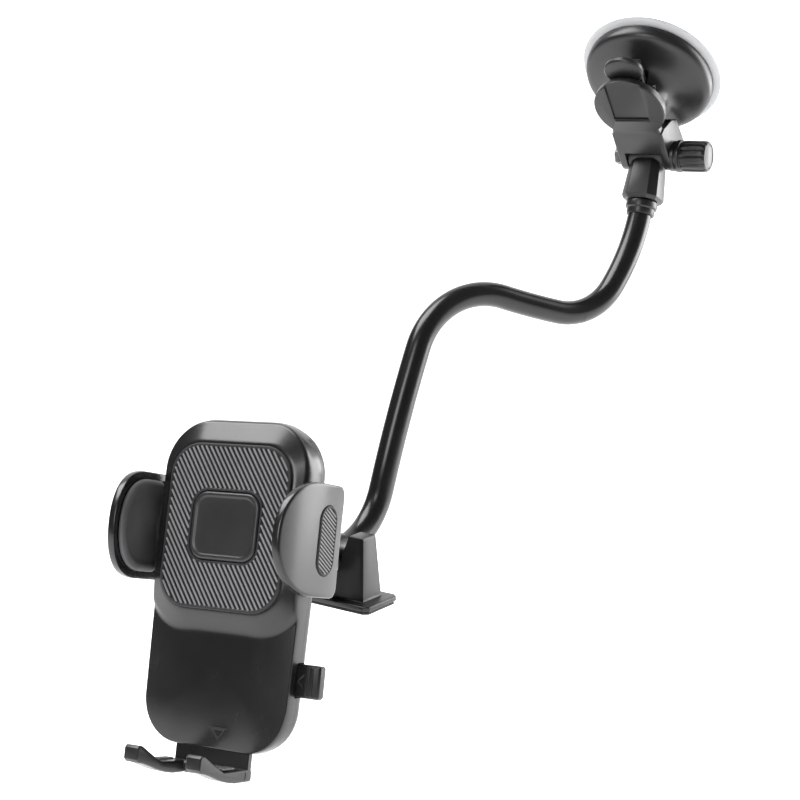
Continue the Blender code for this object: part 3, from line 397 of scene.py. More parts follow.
def spare(name, mesh):
    ob = bpy.data.objects.new(name, mesh)
    bpy.context.scene.collection.objects.link(ob)
    return ob


def applied(ob):  # the object's mesh with its modifiers in it; the object goes
    mesh = evaluatedMesh(ob)
    bpy.data.objects.remove(ob)
    return mesh


def carved(mesh, *tools, operation="DIFFERENCE"):
    ob = spare("carving", mesh)
    helpers = []
    for tool in tools:
        helper = spare("tool", tool)
        helpers.append(helper)
        change = ob.modifiers.new("cut", "BOOLEAN")
        change.operation = operation
        change.solver = "EXACT"
        change.object = helper
    mesh = applied(ob)
    for helper in helpers:
        bpy.data.objects.remove(helper)
    return mesh


def softened(mesh, width, segments=2, angle=28):  # edges rounded over
    ob = spare("softening", mesh)
    rounding = ob.modifiers.new("round", "BEVEL")
    rounding.width = width
    rounding.segments = segments
    rounding.limit_method = "ANGLE"
    rounding.angle_limit = math.radians(angle)
    rounding.harden_normals = False
    rounding.use_clamp_overlap = True
    return applied(ob)


def nodeMesh(name):  # a CAD solid's surface, merged and with its flat faces whole
    bm = bmesh.new()
    bm.from_mesh(nodes[name].data)
    bmesh.ops.remove_doubles(bm, verts=bm.verts, dist=2e-6)
    bmesh.ops.dissolve_limit(bm, angle_limit=math.radians(0.6), verts=bm.verts, edges=bm.edges)
    mesh = bpy.data.meshes.new(name + "Merged")
    bm.to_mesh(mesh)
    bm.free()
    return mesh


def shaded(mesh, sharp=32):
    mesh.polygons.foreach_set("use_smooth", [True] * len(mesh.polygons))
    mesh.set_sharp_from_angle(angle=math.radians(sharp))


def piece(name, mesh, material, body, replaced=(), place=None, sharp=32):
    if place is not None:
        mesh.transform(place)
    mesh.materials.clear()
    mesh.materials.append(material)
    shaded(mesh, sharp)
    ob = bpy.data.objects.new(name, mesh)
    bpy.context.scene.collection.objects.link(ob)
    if body:
        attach(ob, body)
    if replaced:
        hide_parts(*replaced)
    return ob


def refined(node, name, material, body, width=0.3, segments=2, angle=28, sharp=35):
    mesh = softened(nodeMesh(node), width * mm, segments, angle)
    return piece(name, mesh, material, body, (node,), sharp=sharp)


def joined(name, meshes):
    bm = bmesh.new()
    for mesh in meshes:
        bm.from_mesh(mesh)
    mesh = bpy.data.meshes.new(name)
    bm.to_mesh(mesh)
    bm.free()
    return mesh


# geometry trees
def growTree(name, inputs, build):
    tree = bpy.data.node_groups.new(name, "GeometryNodeTree")
    tree.interface.new_socket("Geometry", in_out="INPUT", socket_type="NodeSocketGeometry")
    for key, kind in inputs.items():
        tree.interface.new_socket(key, in_out="INPUT", socket_type=kind)
    tree.interface.new_socket("Geometry", in_out="OUTPUT", socket_type="NodeSocketGeometry")
    graph = Graph(tree)
    entry = tree.nodes.new("NodeGroupInput")
    sources = {socket.name: Wire(graph, socket) for socket in entry.outputs if socket.name}
    end = tree.nodes.new("NodeGroupOutput")
    shape = build(graph, sources)
    whole = graph.add("GeometryNodeRealizeInstances", None, {"Geometry": shape})
    done = graph.add("GeometryNodeSetMaterial", None, {"Geometry": whole, "Material": sources["Material"]})
    graph.feed(end.inputs[0], done)
    return tree


def sweepBuild(graph, given):  # a round bar along every edge
    line = graph.add("GeometryNodeMeshToCurve", None, {"Mesh": given["Geometry"]})
    ring = graph.add("GeometryNodeCurvePrimitiveCircle", None,
                     {"Resolution": given["Sides"], "Radius": given["Radius"]})
    return graph.add("GeometryNodeCurveToMesh", None,
                     {"Curve": line, "Profile Curve": ring, "Fill Caps": True})


def scatterBuild(graph, given):  # one copy of a model at every point
    model = graph.add("GeometryNodeObjectInfo", None, {"Object": given["Model"]}, "Geometry")
    return graph.add("GeometryNodeInstanceOnPoints", None,
                     {"Points": given["Geometry"], "Instance": model})


sweepTree = growTree("sweep", {"Radius": "NodeSocketFloat", "Sides": "NodeSocketInt",
                               "Material": "NodeSocketMaterial"}, sweepBuild)
scatterTree = growTree("scatter", {"Model": "NodeSocketObject", "Material": "NodeSocketMaterial"},
                       scatterBuild)


def grown(name, tree, source, values):
    ob = spare(name, source)
    growth = ob.modifiers.new("growth", "NODES")
    growth.node_group = tree
    for item in tree.interface.items_tree:
        if item.item_type == "SOCKET" and item.in_out == "INPUT" and item.name in values:
            growth[item.identifier] = values[item.name]
    mesh = applied(ob)
    bm = bmesh.new()
    bm.from_mesh(mesh)
    bmesh.ops.recalc_face_normals(bm, faces=bm.faces)
    bm.to_mesh(mesh)
    bm.free()
    return mesh


def lineMesh(name, lines):  # open polylines as edges
    points = [p for line in lines for p in line]
    edges = []
    start = 0
    for line in lines:
        edges += [(start + k, start + k + 1) for k in range(len(line) - 1)]
        start += len(line)
    mesh = bpy.data.meshes.new(name)
    mesh.from_pydata(points, edges, [])
    return mesh


def ribLines(inside, centre, reach, pitch, angle, z, step=0.15, shortest=1.6):
    # parallel lines at an angle, kept only where inside(x, y) is true
    along = Vector((math.cos(math.radians(angle)), math.sin(math.radians(angle))))
    across = Vector((-along.y, along.x))
    lines = []
    count = int(reach / pitch)
    for k in range(-count, count + 1):
        run = []
        for i in range(int(2 * reach / step) + 1):
            p = Vector(centre) + across * (k * pitch) + along * (i * step - reach)
            if inside(p.x, p.y):
                run.append(p)
            elif run:
                lines.append(run)
                run = []
        if run:
            lines.append(run)
    return [[(r[0].x, r[0].y, z), (r[-1].x, r[-1].y, z)] for r in lines
            if (r[-1] - r[0]).length > shortest]


def rectDistance(x, y, x0, x1, y0, y1, rTop, rBottom=None):  # outside is positive
    r = rTop if rBottom is None or y > (y0 + y1) / 2 else rBottom
    qx = abs(x - (x0 + x1) / 2) - ((x1 - x0) / 2 - r)
    qy = abs(y - (y0 + y1) / 2) - ((y1 - y0) / 2 - r)
    return math.hypot(max(qx, 0), max(qy, 0)) + min(max(qx, qy), 0) - r


def smoothMax(a, b, k):
    h = max(k - abs(a - b), 0) / k
    return max(a, b) + h * h * k / 4


print("tools ready")

# suction cup, bracket and lever
cupShape = {  # profiles as (radius, height above the glass)
    "steps": 112,
    "gel": [(0, 0), (31.6, 0), (32.0, 0.25), (32.0, 0.75), (31.5, 1.15), (30.4, 1.45), (27.6, 2.0),
            (25.0, 2.2), (0, 2.2)],
    "dome": [(29.25, 2.6), (29.3, 4.6), (29.0, 6.3), (28.2, 7.7), (26.4, 8.8), (22.6, 9.7), (18.6, 10.7),
             (15.2, 12.2), (12.7, 14.5), (11.4, 17.5), (10.9, 20.5), (10.6, 23.0), (10.2, 23.8), (9.4, 24.0)],
    "hollow": [(2.8, 24.0), (2.8, 7.3), (10.0, 7.3), (10.0, 2.6)],
    "leverSlot": ((-5.6, -5.5, 13.4), (5.6, 16.0, 26.0)),
    "behindTab": ((-12, 22.2, 10), (12, 36, 22.7)),  # the lever's arm stops behind its thumb tab
}
gel = lathe("gelPad", cupShape["gel"], cupShape["steps"])
piece("gelPad", gel, gelClear, "cup", ("gel_pad",), cupPlace)

domeProfile = smoothLine([Vector(p) for p in cupShape["dome"]], 3) + cupShape["hollow"]
dome = lathe("cupDome", domeProfile, cupShape["steps"])
dome = carved(dome, boxMesh("leverSlot", *cupShape["leverSlot"]))
piece("cupDome", dome, satinBlack, "cup", ("suction_cap",), cupPlace, 40)

refined("mount_bracket", "mountBracket", satinBlack, "cup", 0.32, 3)
behindTab = boxMesh("behindTab", *cupShape["behindTab"])
behindTab.transform(cupPlace)
lever = softened(carved(nodeMesh("lock_lever"), behindTab), 0.4 * mm, 3)
piece("lockLever", lever, satinBlack, "lever", ("lock_lever",), sharp=35)
refined("hinge_nut", "hingeNut", blackSteel, "cup", 0.25, 2)

knobShape = {  # the flutes fade in above their start and out below their end
    "flutes": 12, "depth": 0.85, "steps": 192, "start": 16.6, "startFade": 0.9, "end": 28.3, "endFade": 1.1,
    "core": 5.9,
    "profile": [(0.01, 28.0), (4.9, 28.0), (5.3, 28.15), (5.7, 28.4), (6.1, 28.35), (6.6, 27.9),
                (6.95, 27.2), (7.1, 26.3), (7.1, 17.6), (6.95, 16.9), (6.5, 16.3), (6.6, 16.0), (7.25, 15.7),
                (7.3, 15.2), (7.3, 14.1), (7.1, 13.7), (0.01, 13.7)],
}


def between(value, low, high):
    return max(low, min(high, value))


def splitLong(profile, longest=3, parts=5):  # more rings along the straight flank
    line = []
    for (r0, z0), (r1, z1) in zip(profile, profile[1:]):
        count = parts if abs(z1 - z0) > longest else 1
        line += [(r0 + (r1 - r0) * k / count, z0 + (z1 - z0) * k / count) for k in range(count)]
    return line + [profile[-1]]


def knobMesh():
    s = knobShape
    rings = []
    for r, z in splitLong(s["profile"]):
        rise = between((z - s["start"]) / s["startFade"], 0.0, 1.0)
        fade = rise * between((s["end"] - z) / s["endFade"], 0.0, 1.0)
        cut = s["depth"] * fade if r > s["core"] else 0.0
        ring = []
        for k in range(s["steps"]):
            a = 2 * math.pi * k / s["steps"]
            wave = 0.5 + 0.5 * math.cos(s["flutes"] * a)
            radius = r - cut * wave ** 4
            ring.append((radius * math.cos(a), radius * math.sin(a), z))
        rings.append(ring)
    return ringMesh("clampKnob", rings)


piece("clampKnob", knobMesh(), satinBlack, "knob", ("clamp_knob",), knobPlace, 38)
# small inner pieces keep their solids' own shape
innerPieces = (("lever_pin", blackSteel), ("rod_cross_pin", zincSteel), ("hub_screw_left", zincSteel),
               ("hub_screw_right", zincSteel), ("knob_bolt", zincSteel), ("pull_rod", acetalGrey),
               ("ball_liner", acetalGrey), ("pinion", acetalGrey), ("ratchet_pawl", acetalGrey),
               ("foot_spring", zincSteel))
for name, material in innerPieces:
    nodes[name].data.materials.clear()
    nodes[name].data.materials.append(material)
print("cup, bracket, lever and knob made")

# gooseneck arm: its sleeves follow the same line as the solids
armPath = {
    "pitch": 20.3, "heading": 37.6, "twistAt": 5, "twist": -31.2,
    "stretches": ((22.0, 0.0), (43.8, 23.7), (32.5, 64.1), (27.6, 4.5), (52.4, -85.1), (62.2, -7.2),
                  (39.5, 76.7), (40.8, 0.0)),
    "radius": 5.35, "sides": 40, "first": 16.4, "last": 295.5, "flex": (62.0, 112.0, 166.0, 224.0),
    "bendReach": 18.0, "parts": 48,
}


def armRoute(step=1.0):  # (distance in millimetres, point in metres, direction)
    pitch = math.radians(armPath["pitch"])
    heading = math.radians(armPath["heading"])
    point = hinge.copy()
    tangent = Vector((0, -math.sin(pitch), -math.cos(pitch)))
    bend = (-upAxis).cross(Vector((-math.sin(heading), -math.cos(heading), 0)))
    bend = (bend - bend.dot(tangent) * tangent).normalized()
    route = [(0.0, point.copy(), tangent.copy())]
    along = 0.0
    for index, (length, turn) in enumerate(armPath["stretches"]):
        if index == armPath["twistAt"]:
            bend = Matrix.Rotation(math.radians(armPath["twist"]), 3, tangent) @ bend
        count = max(1, round(length / step))
        half = Matrix.Rotation(math.radians(turn) / count / 2, 3, bend)
        for _ in range(count):
            tangent = half @ tangent
            point = point + tangent * (length / count * mm)
            tangent = half @ tangent
            along += length / count
            route.append((along, point.copy(), tangent.copy()))
    return route


route = armRoute()


def routeAt(along):
    for a, b in zip(route, route[1:]):
        if along <= b[0] + 1e-9:
            t = (along - a[0]) / (b[0] - a[0])
            return a[1].lerp(b[1], t), a[2].lerp(b[2], t).normalized()
    return route[-1][1:]


flex = armPath["flex"]
seams = [armPath["first"], *[(a + b) / 2 for a, b in zip(flex, flex[1:])], armPath["last"]]
for k in range(4):
    parts = armPath["parts"]
    stops = [seams[k] + (seams[k + 1] - seams[k]) * i / parts for i in range(parts + 1)]
    line = lineMesh("sleeveLine", [[routeAt(s)[0] for s in stops]])
    tube = grown("sleeve", sweepTree, line,
                 {"Radius": armPath["radius"] * mm, "Sides": armPath["sides"], "Material": sleeveBlack})
    hidden = ["arm_sleeve_1", "arm_sleeve_2"] if k == 0 else [f"arm_sleeve_{k + 2}"]
    sleeve = piece(f"armSleeve{k + 1}", tube, sleeveBlack, None, hidden, sharp=50)
    routeAt(flex[k] - armPath["bendReach"])[0]
    routeAt(flex[k] + armPath["bendReach"])[0]
    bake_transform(sleeve)

refined("arm_head", "armHead", satinBlack, "arm_head", 0.35, 3)
startTangent = route[0][2]
headPlace = frameOf(sideAxis, startTangent.cross(sideAxis), startTangent, hinge)
fittings = {  # profiles as (radius, distance along the arm from the hinge or from the ball)
    "steps": 72,
    "collar": [(5.4, 22.3), (6.8, 22.3), (7.05, 22.5), (7.1, 22.8), (7.1, 25.1), (7.0, 25.4), (6.7, 25.7),
               (6.35, 25.9), (6.3, 26.3), (6.3, 28.1), (6.1, 28.5), (5.8, 28.6), (5.4, 28.6)],
    "ferrule": [(5.3, -44.3), (6.5, -44.3), (6.75, -44.1), (7.2, -43.1), (7.5, -42.1), (7.6, -41.4),
                (7.6, -21.5), (7.5, -20.9), (7.1, -20.4), (6.7, -20.3), (2.6, -20.3), (2.6, -25.0),
                (5.3, -25.0)],
    "stud": [(0, -24.7), (2.45, -24.7), (2.45, -20.0), (5.2, -20.0), (5.4, -19.8), (5.4, -18.5),
             (5.2, -18.3), (3.2, -17.6), (3.0, -17.3), (3.0, -6.9)],
    "ball": 7.5,
}


def fitting(name, profile, material, body, replaced, place):
    mesh = lathe(name, profile, fittings["steps"])
    piece(name, mesh, material, body, (replaced,), place, 40)


fitting("upperCollar", fittings["collar"], satinBlack, "arm_head", "upper_collar",
        headPlace)
tail = route[-1][2]
across = tail.cross(upAxis).normalized()
endPlace = frameOf(across, tail.cross(across), tail, ball)
fitting("lowerFerrule", fittings["ferrule"], satinBlack, "arm_end", "lower_ferrule",
        endPlace)
radius = fittings["ball"]
ballArc = [(radius * math.sin(math.radians(a)), -radius * math.cos(math.radians(a)))
           for a in range(26, 180, 7)]
studProfile = fittings["stud"] + ballArc + [(0, radius)]
fitting("ballStud", studProfile, ballChrome, "arm_end", "ball_stud", endPlace)
refined("lock_nut", "lockNut", satinBlack, "lock_nut", 0.3, 2)
print("arm made")

# saddle on the dashboard
refined("dash_saddle", "dashSaddle", satinBlack, "saddle", 0.45, 3)
refined("saddle_sole", "saddleSole", soleBlack, "saddle", 0.2, 2)
print("saddle made")

# cradle shells
shellShape = {
    "half": 33.0, "top": 40.5, "bottom": -81.5, "rTop": 20.0, "rBottom": 17.0, "back": -10.0,
    "narrowing": 0.035, "narrowFrom": -10, "narrowOver": 60,
    "padHalf": 27.0, "padLow": -31.0, "padHigh": 30.8, "padCorner": 12.5,
    "lip": 0.6, "slope": 0.42, "stepAt": 8.4, "stepSlope": 0.9,
    "belly": -2.9, "bellyFall": 1.9, "bellyReach": 24.0,
    "edge": -9.4, "rimWide": 3.4, "rimDeep": 10.4,
    "wall": 1.6, "around": 150, "rings": 46, "crowding": 1.7,
    "armGap": ((-40, -20.5, -12), (40, 16.5, -9.8)),
    "footGap": ((-16.9, -90, -11), (16.9, -70, -6.3)),
    "buttonGap": ((24, -59.4, -12), (40, -46.6, -8.7)),
}
rearShape = {  # rings are (inset from the outline, height)
    "around": 90,
    "rings": ((6.0, -16.0), (4.2, -15.98), (3.0, -15.8), (2.0, -15.4), (1.2, -14.8), (0.8, -14.0),
              (0.55, -13.0), (0.5, -12.0), (0.5, -10.3), (2.4, -10.3), (2.4, -13.8), (3.0, -14.4)),
    "tower": [(0, -15.0), (11.4, -15.0), (11.4, -16.4), (11.0, -17.4), (11.0, -32.6), (10.6, -33.0),
              (0, -33.0)],
    "ballAt": (0, -12, -33), "seat": 8.8,
    "sink": [(0, -18), (2.9, -18), (2.9, -15.2), (0, -15.2)],
    "armSlot": ((-40, -20.5, -14.4), (40, 16.5, -9)),
    "buttonSlot": ((20, -59.4, -13.9), (40, -46.6, -9)),
}
screwPlaces = ((-21.5, 27.5), (21.5, 27.5), (-22.5, -69.0), (22.5, -69.0))


def evenly(points, count):  # points spread evenly along a line through the given ones
    spans = [math.dist(a, b) for a, b in zip(points, points[1:])]
    total = sum(spans)
    even = []
    for k in range(count + 1):
        want = total * k / count
        i = 0
        while i < len(spans) - 1 and want > spans[i]:
            want -= spans[i]
            i += 1
        t = min(1.0, want / spans[i])
        a, b = points[i], points[i + 1]
        even.append((a[0] + (b[0] - a[0]) * t, a[1] + (b[1] - a[1]) * t))
    return even


def bodyOutline(inset, count):  # down the right side from top centre, then its mirror image back up
    s = shellShape
    half = s["half"] - inset
    top, bottom = s["top"] - inset, s["bottom"] + inset
    rTop, rBottom = s["rTop"] - inset, s["rBottom"] - inset
    right = [(0.0, top)]
    right += [(half - rTop + rTop * math.sin(a), top - rTop + rTop * math.cos(a))
              for a in [math.radians(3 * k) for k in range(31)]]
    right += [(half - rBottom + rBottom * math.cos(a), bottom + rBottom - rBottom * math.sin(a))
              for a in [math.radians(3 * k) for k in range(31)]]
    right.append((0.0, bottom))
    even = evenly(right, count)
    return even + [(-x, y) for x, y in even[-2:0:-1]]


def narrowed(x, y):  # the body grows narrower towards the foot
    s = shellShape
    return x * (1 - s["narrowing"] * between((s["narrowFrom"] - y) / s["narrowOver"], 0.0, 1.0))


def shellHeight(x, y):
    s = shellShape
    inset = -rectDistance(x, y, -s["half"], s["half"], s["bottom"], s["top"], s["rTop"], s["rBottom"])
    away = rectDistance(x, y, -s["padHalf"], s["padHalf"], s["padLow"], s["padHigh"], s["padCorner"])
    inner = min(1.0, max(0.0, inset) / s["bellyReach"])
    belly = s["belly"] - s["bellyFall"] * (1 - inner) ** 2
    plateau = -0.1 - s["slope"] * max(0.0, away - s["lip"])
    if away > s["stepAt"]:  # the raised part ends in a soft step below the pad
        plateau -= (away - s["stepAt"]) * s["stepSlope"]
    height = smoothMax(belly, plateau, 0.8)
    u = min(1.0, max(0.0, inset) / s["rimWide"])
    rim = s["edge"] + s["rimDeep"] * math.sqrt(max(0.0, 1 - (1 - u) ** 2))
    return -smoothMax(-height, -rim, 1.6)


def frontShellMesh():
    s = shellShape
    low, high = s["bottom"] + s["half"], s["top"] - s["half"]

    def surface(inset, drop, edge):  # rings from the edge in to the spine, the same outline pulled in
        widened = s["half"] / (s["half"] - inset)
        rings = [[(narrowed(x, y), y, edge) for x, y in bodyOutline(inset, s["around"])]]
        for k in range(s["rings"] + 1):
            t = (k / s["rings"]) ** s["crowding"]
            ring = []
            for x, y in bodyOutline(inset, s["around"]):
                sy = between(y, low, high)
                px, py = x * (1 - t), y + (sy - y) * t
                ring.append((narrowed(px, py), py,
                             shellHeight(px * widened, sy + (py - sy) * widened) - drop))
            rings.append(ring)
        return rings

    outer = surface(0.0, 0.0, s["back"])
    inner = surface(s["wall"], s["wall"], s["back"])
    shell = ringMesh("frontShell", outer[::-1] + inner, False)
    gaps = [boxMesh(gap, *s[gap]) for gap in ("armGap", "footGap", "buttonGap")]
    return carved(shell, joined("gaps", gaps))


piece("frontShell", frontShellMesh(), glossShellFront, "cradle", ("front_housing",),
      cradlePlace, 40)


def rearShellMesh():
    s = rearShape
    rings = []
    for inset, z in s["rings"]:
        rings.append([(narrowed(x, y), y, z) for x, y in bodyOutline(inset, s["around"])])
    shell = ringMesh("rearShell", rings)
    tower = lathe("tower", s["tower"], 72, s["ballAt"][:2])
    shell = carved(shell, tower, operation="UNION")
    bm = bmesh.new()
    bmesh.ops.create_uvsphere(bm, u_segments=48, v_segments=24, radius=s["seat"])
    bmesh.ops.translate(bm, verts=bm.verts, vec=s["ballAt"])
    seat = meshOf(bm, "seat")
    sinks = [lathe("sink", s["sink"], 36, (x, y)) for x, y in screwPlaces]
    slots = [boxMesh(slot, *s[slot]) for slot in ("armSlot", "buttonSlot")]
    return carved(shell, seat, joined("sinks", sinks), *slots)


piece("rearShell", rearShellMesh(), satinBlack, "cradle", ("rear_housing",), cradlePlace, 40)


screwShape = {
    "profile": [(0, -7.6), (1.1, -7.6), (1.1, -15.4), (2.45, -15.5), (2.6, -15.8), (2.5, -16.2),
                (2.0, -16.5), (0, -16.5)],
    "reach": 1.5, "half": 0.28, "bottom": -16.0, "above": -17,
}


def screwModel():  # a pan head with a cross in it
    s = screwShape
    head = lathe("screwHead", s["profile"], 36)
    slots = [boxMesh("slot", (-dx, -dy, s["above"]), (dx, dy, s["bottom"]))
             for dx, dy in ((s["reach"], s["half"]), (s["half"], s["reach"]))]
    return spare("screwModel", carved(head, *slots))


screw = screwModel()
points = bpy.data.meshes.new("screwPoints")
points.from_pydata([(x, y, 0) for x, y in screwPlaces], [], [])
screws = grown("screws", scatterTree, points, {"Model": screw, "Material": zincSteel})
bpy.data.objects.remove(screw)
piece("housingScrews", screws, zincSteel, "cradle", [f"housing_screw_{k}" for k in range(1, 5)],
      cradlePlace)
print("cradle shells made")

# ribbed pad and centre plate
padShape = {  # rims are (distance from the outline, height)
    "half": 27.0, "low": -31.0, "high": 30.8, "corner": 12.5, "crest": 1.0,
    "outerRim": ((0.6, -1.1), (0.1, -0.8), (0.0, 0.3), (0.15, 0.75), (0.5, 0.98), (1.0, 0.98), (1.3, 0.75),
                 (1.45, 0.25)),
    "hole": 15.1, "holeHigh": 13.0, "holeCorner": 6.4,
    "holeRim": ((1.1, 0.25), (1.0, 0.7), (0.7, 0.95), (0.25, 0.95), (0.0, 0.7), (0.0, -1.1)),
    "pitch": 1.75, "angle": -55.0, "rib": 0.55, "ribReach": 42, "edgeGap": 1.2, "holeGap": 0.9,
}
plateShape = {
    "half": 14.8, "high": 12.65, "corner": 6.0,
    "rim": ((0.0, -1.1), (0.0, 0.55), (0.12, 0.95), (0.4, 1.25), (0.8, 1.4), (1.3, 1.42), (1.7, 1.3),
            (2.0, 1.1), (2.4, 1.02), (5.0, 1.0)),
}


def padMesh():
    s = padShape
    rings = []
    for inset, z in s["outerRim"]:
        outline = roundRect(-s["half"] + inset, s["half"] - inset, s["low"] + inset, s["high"] - inset,
                            s["corner"] - inset)
        rings.append([(x, y, z) for x, y in outline])
    for grow, z in s["holeRim"]:
        outline = roundRect(-s["hole"] - grow, s["hole"] + grow, -s["holeHigh"] - grow, s["holeHigh"] + grow,
                            s["holeCorner"] + grow)
        rings.append([(x, y, z) for x, y in outline])
    rings.append(rings[0])
    return ringMesh("gripPad", rings, False)


def inPad(x, y):
    s = padShape
    edge = rectDistance(x, y, -s["half"], s["half"], s["low"], s["high"], s["corner"])
    hole = rectDistance(x, y, -s["hole"], s["hole"], -s["holeHigh"], s["holeHigh"], s["holeCorner"])
    return edge < -s["edgeGap"] and hole > s["holeGap"]


# the pad's rib crests get a painted highlight, paler towards their tops
padPaint = ribbedSilicone("ribbedSilicone", phoneOut, cradleOrigin, 0.6, 0.95)
ribs = lineMesh("ribs", ribLines(inPad, (0, 0), padShape["ribReach"], padShape["pitch"], padShape["angle"],
                                 padShape["crest"] - padShape["rib"]))
ribBars = grown("ribBars", sweepTree, ribs, {"Radius": padShape["rib"], "Sides": 10, "Material": padPaint})
piece("gripPad", padMesh(), padDark, "cradle", ("grip_pad",), cradlePlace)
piece("gripPadRibs", ribBars, padPaint, "cradle", (), cradlePlace, 50)



def plateMesh():
    s = plateShape
    rings = []
    for inset, z in s["rim"]:
        outline = roundRect(-s["half"] + inset, s["half"] - inset, -s["high"] + inset, s["high"] - inset,
                            s["corner"] - inset * 0.6)
        rings.append([(x, y, z) for x, y in outline])
    return ringMesh("centrePlate", rings)


piece("centrePlate", plateMesh(), plateGrey, "cradle", ("centre_plate",), cradlePlace, 40)
print("pad made")

# clamps
clampShape = {
    "back": -16.0, "front": 21.5, "half": 20.5, "corner": 3.6, "knee": 1.0, "power": 2.15, "mid": -2.0,
    "thick": 3.2, "bow": 41.2, "bowRate": 0.0052, "bowAt": -4.0, "spine": (-6, 6),
    "outerEdge": 0.7, "innerEdge": 0.6, "link": ((21, -20, -14.1), (39.4, 16, -10.9)),
}
clampPadShape = {"back": -9.4, "front": 18.0, "half": 17.6, "corner": 3.0, "spine": (-3, 5), "gap": 0.3,
                 "thick": 1.6, "edge": 1.4, "lip": 0.5, "lipAt": 2.6}
rackShape = {"radius": 4.9, "teeth": 14, "first": -7, "last": 2, "gap": 1.05, "deep": 5.6, "end": 22.5,
             "back": -13.9, "front": -11.1,
             "tooth": ((-0.30, 0.95), (-0.19, 0), (-0.08, -0.55), (0.08, -0.55), (0.19, 0), (0.30, 0.95))}
ovalShape = {"centreZ": -5.0, "halfLong": 12.7, "halfWide": 5.5, "play": 0.3, "sunk": 0.8, "above": 4,
             "pitch": 1.25, "angle": 62.0, "rib": 0.42, "ribReach": 15, "ribGap": 0.75,
             "rim": ((0.3, -0.5), (0.0, -0.4), (0.0, 0.15), (0.15, 0.4), (0.5, 0.5), (0.8, 0.35),
                     (0.95, -0.05))}


def wingOut(z):
    return clampShape["bow"] - clampShape["bowRate"] * (z - clampShape["bowAt"]) ** 2


def wingOutline(back, front, half, corner, count=72):  # (z, y) from the back round to the front, symmetric
    knee = clampShape["knee"] + (front - clampShape["front"]) * 0.3
    power = clampShape["power"]
    upper = [(back, 0.0), (back, half - corner)]
    upper += [(back + corner - corner * math.cos(a), half - corner + corner * math.sin(a))
              for a in [math.radians(15 * k) for k in range(1, 7)]]
    upper.append((knee, half))
    for k in range(1, 31):
        a = math.radians(3 * k)
        upper.append((knee + (front - knee) * math.sin(a) ** (2 / power),
                      half * max(0.0, math.cos(a)) ** (2 / power)))
    upper[-1] = (front, 0.0)
    even = evenly(upper, count)
    return even + [(z, -y) for z, y in even[-2:0:-1]]


def wingMesh(name, outline, spine, faceOut, faceIn, rings=16):
    # outer and inner faces over one outline, meeting at its edge; depths depend on the distance inwards
    steps = [(k / rings) ** 1.8 for k in range(rings + 1)]
    rows = []
    for side, order in ((faceOut, steps[::-1]), (faceIn, steps)):
        for t in order:
            row = []
            for z, y in outline:
                sz = between(z, *spine)
                pz, py = z + (sz - z) * t, y * (1 - t)
                inward = math.dist((z, y), (pz, py))
                row.append((side(pz, inward), clampShape["mid"] + py, pz))
            rows.append(row)
    return ringMesh(name, rows, False)


def roundDrop(inward, radius):
    if inward >= radius:
        return 0.0
    return radius - math.sqrt(max(0.0, radius ** 2 - (radius - inward) ** 2))


def clampFaceOut(z, inward):
    return wingOut(z) - roundDrop(inward, clampShape["outerEdge"])


def clampFaceIn(z, inward):
    return wingOut(z) - clampShape["thick"] + roundDrop(inward, clampShape["innerEdge"])


def padFaceOut(z, inward):
    return wingOut(z) - clampShape["thick"] - clampPadShape["gap"]


def padFaceIn(z, inward):
    s = clampPadShape
    lip = s["lip"] * math.exp(-(inward - s["lipAt"]) ** 2)
    return padFaceOut(z, inward) - s["thick"] + roundDrop(inward, s["edge"]) - lip


def halfTurn(mesh):  # the left clamp is the right one turned about the pinion
    centre = Vector((0, clampShape["mid"], 0))
    turn = Matrix.Rotation(math.pi, 4, "Z")
    mesh.transform(Matrix.Translation(centre) @ turn @ Matrix.Translation(-centre))
    return mesh


def rackMesh():
    s = rackShape
    pitch = 2 * math.pi * s["radius"] / s["teeth"]
    line = clampShape["mid"] + s["radius"]
    outline = [(s["first"] * pitch, line + s["gap"])]
    for k in range(s["first"], s["last"]):
        x = (k + 0.5) * pitch
        outline += [(x + dx * pitch, line + dy) for dx, dy in s["tooth"]]
        outline.append((x + 0.5 * pitch, line + s["gap"]))
    outline += [(s["end"], line + s["gap"]), (s["end"], line + s["deep"])]
    outline.append((s["first"] * pitch, line + s["deep"]))
    return prism("rack", outline, s["back"], s["front"])


# a flat (y, z) shape, thick along x
sideTurn = Matrix(((0, 0, 1, 0), (1, 0, 0, 0), (0, 1, 0, 0), (0, 0, 0, 1)))
gripOut = wingOut(ovalShape["centreZ"])


def capsule(halfLong, halfWide):
    m, c = clampShape["mid"], ovalShape["centreZ"]
    return roundRect(m - halfLong, m + halfLong, c - halfWide, c + halfWide, halfWide - 0.02, 14)


def inOval(y, z):
    m, c = clampShape["mid"], ovalShape["centreZ"]
    halfLong, halfWide = ovalShape["halfLong"], ovalShape["halfWide"]
    edge = rectDistance(y, z, m - halfLong, m + halfLong, c - halfWide, c + halfWide, halfWide - 0.02)
    return edge < -ovalShape["ribGap"]


def clampBody():
    s, oval = clampShape, ovalShape
    outline = wingOutline(s["back"], s["front"], s["half"], s["corner"])
    body = wingMesh("wing", outline, s["spine"], clampFaceOut, clampFaceIn)
    link = softened(boxMesh("link", *s["link"]), 0.3, 2)
    pocket = prism("pocket", capsule(oval["halfLong"] + oval["play"], oval["halfWide"] + oval["play"]),
                   gripOut - oval["sunk"], gripOut + oval["above"])
    pocket.transform(sideTurn)
    body = carved(body, pocket)
    return carved(body, link, rackMesh(), operation="UNION")


def clampPad():
    s = clampPadShape
    outline = wingOutline(s["back"], s["front"], s["half"], s["corner"])
    return wingMesh("pad", outline, s["spine"], padFaceOut, padFaceIn)


